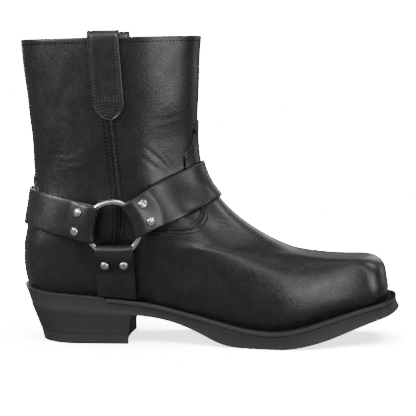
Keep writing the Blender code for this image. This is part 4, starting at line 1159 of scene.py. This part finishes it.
def make_side_seams(material, thread):
    """Raised side seams: two narrow ridges with a groove between, and a row of stitches each side."""
    lines = []
    across = np.linspace(-SEAM_HALF, SEAM_HALF, 27)
    off_middle = np.abs(across)
    profile = 0.0001 + bump_at(off_middle, *SEAM_RIDGE) + bump_at(off_middle, *SEAM_GROOVE)
    profile = profile - 0.0004 * ease((off_middle - 0.0021) / (SEAM_HALF - 0.0021))
    for side, label in ((-1, "lateral"), (1, "medial")):
        high = float(find_height(along(SEAM_PLACE), side)) - PULL_LENGTH + 0.003
        z = np.linspace(high, SEAM_FOOT, 150)
        lean = (high - 0.005 - z) * SEAM_LEAN * ease((z - 0.060) / 0.05)
        x = float(along(SEAM_PLACE)) + lean
        rows = []
        for off, height in zip(across, profile):
            u, v = find_on_side(x + off, z, side)
            rows.append(leather(u, v, np.full(z.shape, height)))
        grid = np.asarray(rows)
        node = f"side_seam_{label}"
        quads = grid_quads(*grid.shape[:2])
        dressed(piece(node + "_leather", grid, quads, material, facing=(0, side, 0)), node)
        for off in (-SEAM_STITCHES, SEAM_STITCHES):
            u, v = find_on_side(x + off, z, side)
            lines.append((leather(u, v, np.full(z.shape, 0.00005)), sample(DENSE_NORMAL, u, v)))
    stitch_rows("side_seam_stitches", lines, 0.0032, 0.0021, THREAD_RADIUS, thread)


COLLAR_ROW = 0.9885


def make_collar_stitches(thread):
    """Row of stitches just under the collar's rim, at a level up the rings."""
    u = np.linspace(0.0, 1.0, 400)
    v = np.full(u.shape, COLLAR_ROW)
    row = (leather(u, v), sample(DENSE_NORMAL, u, v))
    stitch_rows("collar_stitches", [row], 0.0029, 0.0018, FINE_THREAD_RADIUS, thread)


def outline_loop(places, back, front):
    """Outline of the sole at the places, on the outer side; with its mirror it makes a loop."""
    half = sole_half_width(places, back, front)
    lateral = np.stack([places, middle(places) - half], axis=1)
    medial = np.stack([places, middle(places) + half], axis=1)
    return np.concatenate([lateral, medial[-2:0:-1]])


def inward_of(loop):
    """Flat unit directions from a closed outline towards its inside."""
    flow = np.roll(loop, -1, axis=0) - np.roll(loop, 1, axis=0)
    flow /= np.maximum(np.linalg.norm(flow, axis=1, keepdims=True), 1e-12)
    inward = np.stack([-flow[:, 1], flow[:, 0]], axis=1)
    centre = loop.mean(axis=0)
    if ((centre - loop) * inward).sum() < 0:
        inward = -inward
    return inward


def make_outsole(material):
    """Outsole: its rim rounded above and below, its side slightly hollow, its tread flat."""
    t = (1.0 - np.cos(np.linspace(0.0, pi, 150))) / 2.0
    top_places = along(SEAT_BACK) + (along(SOLE_FRONT) - along(SEAT_BACK)) * t
    low_places = along(SEAT_UNDER_BACK) + (along(SOLE_FRONT_UNDER) - along(SEAT_UNDER_BACK)) * t
    top_loop = outline_loop(top_places, along(SEAT_BACK), along(SOLE_FRONT))
    low_loop = outline_loop(low_places, along(SEAT_UNDER_BACK), along(SOLE_FRONT_UNDER))
    top_in = inward_of(top_loop)
    low_in = inward_of(low_loop)
    notch = float(along(WELT_END)) - GAP

    def high(x):
        """Height of the outsole's upper face, which steps down under the welt."""
        return top_height(x) - (WELT_THICKNESS + GAP) * ease((x - notch + 0.0006) / 0.0006)

    rows = []
    for inset, drop in ((0.0040, 0.0), (0.0008, 0.0), (0.0002, 0.0001), (0.0, 0.0005)):
        plan = top_loop + top_in * inset
        rows.append(np.column_stack([plan, high(top_loop[:, 0]) - drop]))
    low_z = under_height(low_loop[:, 0])
    high_z = high(top_loop[:, 0])
    for share in np.linspace(0.08, 0.92, 14):
        plan = top_loop * (1.0 - share) + low_loop * share + top_in * 0.0004 * sin(pi * share)
        rows.append(np.column_stack([plan, high_z * (1.0 - share) + low_z * share]))
    for inset, lift in ((0.0, 0.0005), (0.00015, 0.0001), (0.0006, 0.0), (0.0060, 0.0)):
        plan = low_loop + low_in * inset
        rows.append(np.column_stack([plan, low_z + lift]))
    first = rows[0].copy()
    first[:, 1] = middle(first[:, 0])
    last = rows[-1].copy()
    last[:, 1] = middle(last[:, 0])
    grid = np.asarray([first] + rows + [last])
    quads = grid_quads(len(grid), grid.shape[1], False, True)
    dressed(piece("outsole_rubber", grid, quads, material, weld=True, sharp=50), "outsole")


# Welt in section: distance in from the sole's outline and height over the upper's seat. Its rim is
# rounded, and its stitches lie in a groove
WELT_PROFILE = ((0.0, -0.0042), (0.0, -0.0030), (0.0, -0.0006), (0.00015, -0.0002), (0.0005, 0.0),
                (0.0022, 0.0), (0.0026, -0.0003), (0.0029, -0.0008), (0.0035, -0.0008), (0.0038, -0.0003),
                (0.0043, 0.0), (0.0080, 0.0), (WELT_WIDTH, 0.0), (WELT_WIDTH, -WELT_THICKNESS),
                (0.0010, -WELT_THICKNESS))
WELT_STITCHES = (0.00315, -0.00065)


def make_welt(material, thread):
    """Welt: a strip with rounded edges and a stitched groove, from heel to heel round the toe."""
    back = along(SEAT_BACK)
    front = along(SOLE_FRONT)
    share = np.linspace(0.0, 1.0, 200)
    lateral = along(WELT_END) + (front - along(WELT_END)) * np.sin(share * pi / 2) ** 1.2
    places = np.concatenate([lateral, lateral[-2::-1]])
    side = np.concatenate([-np.ones(200), np.ones(199)])
    half = sole_half_width(places, back, front) - 0.00005
    outer = np.stack([places, middle(places) + side * half], axis=1)
    flow = np.gradient(outer, axis=0)
    flow /= np.linalg.norm(flow, axis=1, keepdims=True)
    inward = np.stack([-flow[:, 1], flow[:, 0]], axis=1)
    lines = []
    for inset, rise in WELT_PROFILE + (WELT_STITCHES,):
        plan = outer + inward * inset
        lines.append(np.column_stack([plan, top_height(plan[:, 0]) + rise]))
    sections = np.asarray(lines[:-1]).transpose(1, 0, 2)
    band_piece("welt_leather_strip", sections, material, "welt")
    up = np.tile([0.0, 0.0, 1.0], (len(places), 1))
    stitch_rows("welt_stitches", [(lines[-1], up)], 0.0040, 0.0030, THREAD_RADIUS, thread)


def heel_loop(back, breast):
    """Outline of the heel: round its back from the breast's outer corner, then along the breast."""
    share = spread(0.0, 1.0, 60)
    places = back + (breast - back) * share
    half = sole_half_width(places, back, along(SOLE_FRONT))
    outer = np.stack([places, middle(places) - half], axis=1)[::-1]
    inner = np.stack([places, middle(places) + half], axis=1)[1:]
    across = np.linspace(1.0, -1.0, 16)[1:-1]
    hollow = breast - BREAST_HOLLOW * (1.0 - across**2)
    front = np.stack([hollow, middle(breast) + half[-1] * across], axis=1)
    return np.concatenate([outer, inner, front])


def heel_piece(name, top, low, high, foot, waist, material, node):
    """Closed heel layer between two outlines: sides hollowed by waist, edges a little rounded."""
    top_in = inward_of(top)
    rows = []
    for scale in (0.0, 0.9):
        plan = top.mean(axis=0) + (top - top.mean(axis=0)) * scale
        rows.append(np.column_stack([plan, high(plan[:, 0])]))
    plan = top + top_in * 0.0001
    rows.append(np.column_stack([plan, high(plan[:, 0])]))
    for share in np.linspace(0.01, 0.99, 30):
        plan = top * (1.0 - share) + low * share + top_in * waist * sin(pi * share)
        rows.append(np.column_stack([plan, high(top[:, 0]) * (1.0 - share) + foot * share]))
    low_in = inward_of(low)
    rows.append(np.column_stack([low + low_in * 0.0001, np.full(len(low), foot)]))
    for scale in (0.9, 0.0):
        plan = low.mean(axis=0) + (low - low.mean(axis=0)) * scale
        rows.append(np.column_stack([plan, np.full(len(low), foot)]))
    grid = np.asarray(rows)
    quads = grid_quads(len(grid), grid.shape[1], False, True)
    dressed(piece(name, grid, quads, material, weld=True, sharp=45), node)


# Hair's breadth that keeps the heel's touching faces apart
HEEL_JOIN = 0.00002


def make_heel(stack, rubber):
    """Leather heel stack on its rubber lift."""
    seat = heel_loop(along(SEAT_UNDER_BACK) - 0.0004, along(HEEL_BREAST))
    foot = heel_loop(along(BLOCK_FOOT_BACK), along(LIFT_BREAST))
    tread = heel_loop(along(LIFT_BACK), along(LIFT_BREAST))
    heel_piece("heel_stack_layers", seat, foot, lambda x: under_height(x) + HEEL_JOIN,
               LIFT_THICKNESS + HEEL_JOIN, 0.0002, stack, "heel_block")
    heel_piece("heel_lift_rubber", foot, tread, lambda x: np.full(np.shape(x), LIFT_THICKNESS),
               0.0, 0.0, rubber, "heel_lift")


def make_insole(material):
    """Insole inside the wall, its edge a little rounded."""
    ring = skin(round_spacing(240), np.full(240, 0.012), np.full(240, -UPPER_WALL - 0.0012))[:, :2]
    inward = inward_of(ring)
    rows = []
    for inset, rise in ((None, 1.0), (0.004, 1.0), (0.0006, 0.95), (0.0, 0.6), (0.0, 0.1), (None, 0.1)):
        plan = ring.copy() if inset is None else ring + inward * inset
        if inset is None:
            plan[:, 1] = middle(plan[:, 0])
        rows.append(np.column_stack([plan, top_height(plan[:, 0]) + GAP + INSOLE_THICKNESS * rise]))
    grid = np.asarray(rows)
    quads = grid_quads(len(grid), grid.shape[1], False, True)
    dressed(piece("insole_leather_sheet", grid, quads, material, weld=True), "insole")


def make_rings(rings, material):
    """Harness rings of round wire."""
    for side, label in ((-1, "lateral"), (1, "medial")):
        ring = rings[side]
        theta = np.linspace(0.0, 2 * pi, 145)[:-1][:, None, None]
        phi = np.linspace(0.0, 2 * pi, 29)[:-1][None, :, None]
        reach = ring.radius + RING_WIRE / 2 * np.cos(phi)
        grid = (ring.centre + reach * (np.cos(theta) * ring.ahead + np.sin(theta) * ring.up)
                + RING_WIRE / 2 * np.sin(phi) * ring.axis)
        quads = grid_quads(*grid.shape[:2], True, True)
        item = piece(f"ring_{label}_wire", grid, quads, material, f"{label}_ring")
        dressed(item, f"ring_{label}")


# Rivet cap from its crown to under its foot: shares of its radius and of its height
RIVET_PROFILE = ((0.0, 1.0), (0.30, 0.985), (0.50, 0.94), (0.66, 0.85), (0.80, 0.70), (0.90, 0.50),
                 (0.97, 0.28), (1.0, 0.10), (0.99, -0.02), (0.85, -0.10), (0.0, -0.10))


def make_rivets(material):
    """Domed rivet caps, each turned from one profile about its own middle line.

    Each sits on its strap: its foot is level with the leather's face under the cap.
    """
    for name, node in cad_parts.items():
        if not name.startswith("rivet_"):
            continue
        spots = np.array([v.co for v in node.data.vertices])
        middle_spot = spots.mean(axis=0)
        axis = np.linalg.svd(spots - middle_spot)[2][2]
        height = (spots - middle_spot) @ axis
        if abs(height.min()) > height.max():
            axis = -axis
            height = -height
        foot = middle_spot + axis * height.min()
        _, place, label, _ = name.split("_")
        strap = f"bottom_strap_{label}" if place == "bottom" else f"{place}_strap"
        leather_mesh = bpy.data.objects[strap + "_leather"].data
        face = np.empty(len(leather_mesh.vertices) * 3)
        leather_mesh.vertices.foreach_get("co", face)
        face = face.reshape(-1, 3) - foot
        above = face @ axis
        beside = np.linalg.norm(face - above[:, None] * axis, axis=1)
        near = (beside < 0.003) & (np.abs(above) < 0.005)
        foot = foot + axis * above[near].max()
        tall = height.max() - height.min()
        radius = np.linalg.norm(spots - middle_spot - height[:, None] * axis, axis=1).max()
        side = np.cross(axis, [0.0, 0.0, 1.0])
        side /= np.linalg.norm(side)
        other = np.cross(axis, side)
        theta = np.linspace(0.0, 2 * pi, 41)[:-1][None, :, None]
        out = np.array([p[0] for p in RIVET_PROFILE])[:, None, None] * radius
        rise = np.array([p[1] for p in RIVET_PROFILE])[:, None, None] * tall
        grid = foot + out * (np.cos(theta) * side + np.sin(theta) * other) + rise * axis
        quads = grid_quads(*grid.shape[:2], False, True)
        dressed(piece(name + "_cap", grid, quads, material, weld=True), name)


def area_light(name, place, target, width, height, power):
    """Soft box that faces its target."""
    data = bpy.data.lights.new(name, "AREA")
    data.shape = "RECTANGLE"
    data.size = width
    data.size_y = height
    data.energy = power
    item = bpy.data.objects.new(name, data)
    item.location = place
    item.rotation_euler = (Vector(target) - Vector(place)).to_track_quat("-Z", "Y").to_euler()
    bpy.context.scene.collection.objects.link(item)
    return item


# Light on the floor alone in watts, the share that the floor throws back at the boot, the dim room's
# brightness, and the paper's own glow: radii in metres where it changes, and its strengths there
FLOOR_LIGHT = 2000.0
FLOOR_BOUNCE = 0.015
ROOM_LIGHT = 0.24
GLOW_RADII = (0.26, 0.62)
GLOW_STRENGTHS = (2.4, 30.0)
WHITE = (1.0, 1.0, 1.0, 1.0)

# Softboxes round the boot: name, angle round from the camera's side towards the toe and angle above
# the floor in degrees, breadth and height in metres, and watts
LAMPS = (
    ("front_left", -60, 27, 0.55, 0.50, 19.0),
    ("front_near", -30, 27, 0.45, 0.45, 3.7),
    ("front_high", 0, 46, 0.50, 0.45, 4.0),
    ("front_right", 30, 27, 0.45, 0.45, 2.0),
    ("front_right_low", 45, 8, 0.90, 0.45, 7.5),
    ("toe_high", 90, 46, 0.45, 0.45, 4.2),
    ("toe_low", 120, 8, 0.45, 0.45, 1.0),
    ("overhead", 0, 85, 0.50, 0.50, 2.6),
    ("back_right", 155, 22, 0.60, 0.60, 2.0),
    ("back_left", -150, 18, 0.50, 0.80, 7.5),
)
LAMP_DISTANCE = 1.4


def softbox(name, azimuth, climb, wide, tall, watts):
    """Softbox on a ball round the boot's middle, turned to it."""
    turn = np.radians(azimuth)
    rise = np.radians(climb)
    ahead = np.array([np.sin(turn) * np.cos(rise), -np.cos(turn) * np.cos(rise), np.sin(rise)])
    aim = np.array([0.0, 0.0, 0.12])
    area_light(name, tuple(aim + ahead * LAMP_DISTANCE), tuple(aim), wide, tall, watts)


def make_stage():
    """White floor and white surroundings for the camera, with a dim room for the boot's own shine.

    The floor's own soft light is far brighter than the boot's lights, so the paper is pure white
    and the boot still throws a soft shadow on it; further off the paper glows of itself, so that its
    far edge doesn't show. To everything but the camera the floor is dim.
    """
    floor = bpy.data.meshes.new("floor")
    floor.from_pydata([(-6, -6, 0), (6, -6, 0), (6, 6, 0), (-6, 6, 0)], [], [(0, 1, 2, 3)])
    item = bpy.data.objects.new("floor", floor)
    bpy.context.scene.collection.objects.link(item)
    material, tree, shader, place = new_material("floor_paper")
    shader.inputs["Base Color"].default_value = (0.90, 0.90, 0.90, 1.0)
    shader.inputs["Roughness"].default_value = 0.9
    shader.inputs["Specular IOR Level"].default_value = 0.0
    away = add_node(tree, "VectorMath", {"operation": "LENGTH"}, i0=place).outputs["Value"]
    glow = add_node(tree, "MapRange", Value=away, From_Min=GLOW_RADII[0], From_Max=GLOW_RADII[1],
                    To_Min=GLOW_STRENGTHS[0], To_Max=GLOW_STRENGTHS[1])
    shader.inputs["Emission Color"].default_value = WHITE
    tree.links.new(glow.outputs[0], shader.inputs["Emission Strength"])
    dim = add_node(tree, "BsdfDiffuse", Color=(FLOOR_BOUNCE, FLOOR_BOUNCE, FLOOR_BOUNCE, 1.0))
    seen = add_node(tree, "LightPath").outputs["Is Camera Ray"]
    mix = add_node(tree, "MixShader", i0=seen, i1=dim, i2=shader)
    tree.links.new(mix.outputs[0], tree.nodes["Material Output"].inputs["Surface"])
    floor.materials.append(material)
    lit = bpy.data.collections.new("floor_only")
    lit.objects.link(item)
    lamp = area_light("floor_light", (0.0, -0.3, 2.6), (0.0, 0.0, 0.0), 3.6, 3.6, FLOOR_LIGHT)
    lamp.light_linking.receiver_collection = lit
    world = bpy.data.worlds.new("studio")
    bpy.context.scene.world = world
    world.use_nodes = True
    tree = world.node_tree
    room = tree.nodes["Background"]
    room.inputs["Color"].default_value = WHITE
    room.inputs["Strength"].default_value = ROOM_LIGHT
    clear = add_node(tree, "Background", Color=WHITE, Strength=GLOW_STRENGTHS[1])
    seen = add_node(tree, "LightPath").outputs["Is Camera Ray"]
    mix = add_node(tree, "MixShader", i0=seen, i1=room, i2=clear)
    tree.links.new(mix.outputs[0], tree.nodes["World Output"].inputs["Surface"])


CAMERA_YAW = radians(3.0)
CAMERA_PITCH = radians(6.33)
CAMERA_DISTANCE = 1.187
CAMERA_HALF_FRAME = 0.1762
CAMERA_TARGET = (-0.0026, 0.0, 0.1111)


def make_camera():
    """Camera of the photograph: a long lens a little above the boot, looking slightly down."""
    data = bpy.data.cameras.new("camera")
    data.sensor_fit = "HORIZONTAL"
    data.angle = 2 * atan(CAMERA_HALF_FRAME / CAMERA_DISTANCE)
    data.clip_end = 20.0
    item = bpy.data.objects.new("camera", data)
    target = Vector(CAMERA_TARGET)
    way = Vector((sin(CAMERA_YAW), -cos(CAMERA_YAW), 0.0)) * cos(CAMERA_PITCH)
    way.z = sin(CAMERA_PITCH)
    item.location = target + way * CAMERA_DISTANCE
    item.rotation_euler = (-way).to_track_quat("-Z", "Y").to_euler()
    bpy.context.scene.collection.objects.link(item)
    bpy.context.scene.camera = item


hide = leather_material("full_grain_leather", "#101011", "#1b1b1c", 0.90, 0.24, 0.35, 0.06, 0.15, 1.6)
harness = leather_material("harness_leather", "#151516", "#212122", 0.85, 0.20, 0.35, 0.06, 0.15)
lining = leather_material("lining_leather", "#33302d", "#403c38", 0.70, 0.10, 0.65, 0.05, 0.0)
footbed = leather_material("insole_leather_tan", "#57463a", "#6b5748", 0.80, 0.10, 0.70, 0.05, 0.0)
# The welt's upward face gets painted shade: near black and dull
strip = rubber_material("welt_leather_black", "#262627", "#323233", 0.60, True)
rubber = rubber_material("sole_rubber_black", "#262627", "#323233", 0.60)
stack = stack_material("heel_stack_leather")
nickel = metal_material("polished_nickel", "#c9c5bd", 0.16)
thread = thread_material("waxed_thread", "#050505", "#0a0a0a", 0.10)
bright_thread = thread_material("polished_thread", "#343435", "#454546", 0.50)

rings = {side: Ring(side) for side in (-1, 1)}
make_upper(hide, lining)
make_overlays(hide, thread)
make_straps(rings, harness)
make_pull_straps(harness, bright_thread)
make_side_seams(hide, thread)
make_collar_stitches(thread)
make_outsole(rubber)
make_welt(strip, thread)
make_heel(stack, rubber)
make_insole(footbed)
make_rings(rings, nickel)
make_rivets(nickel)

make_stage()
for name, azimuth, climb, wide, tall, watts in LAMPS:
    softbox(name, azimuth, climb, wide, tall, watts)
make_camera()
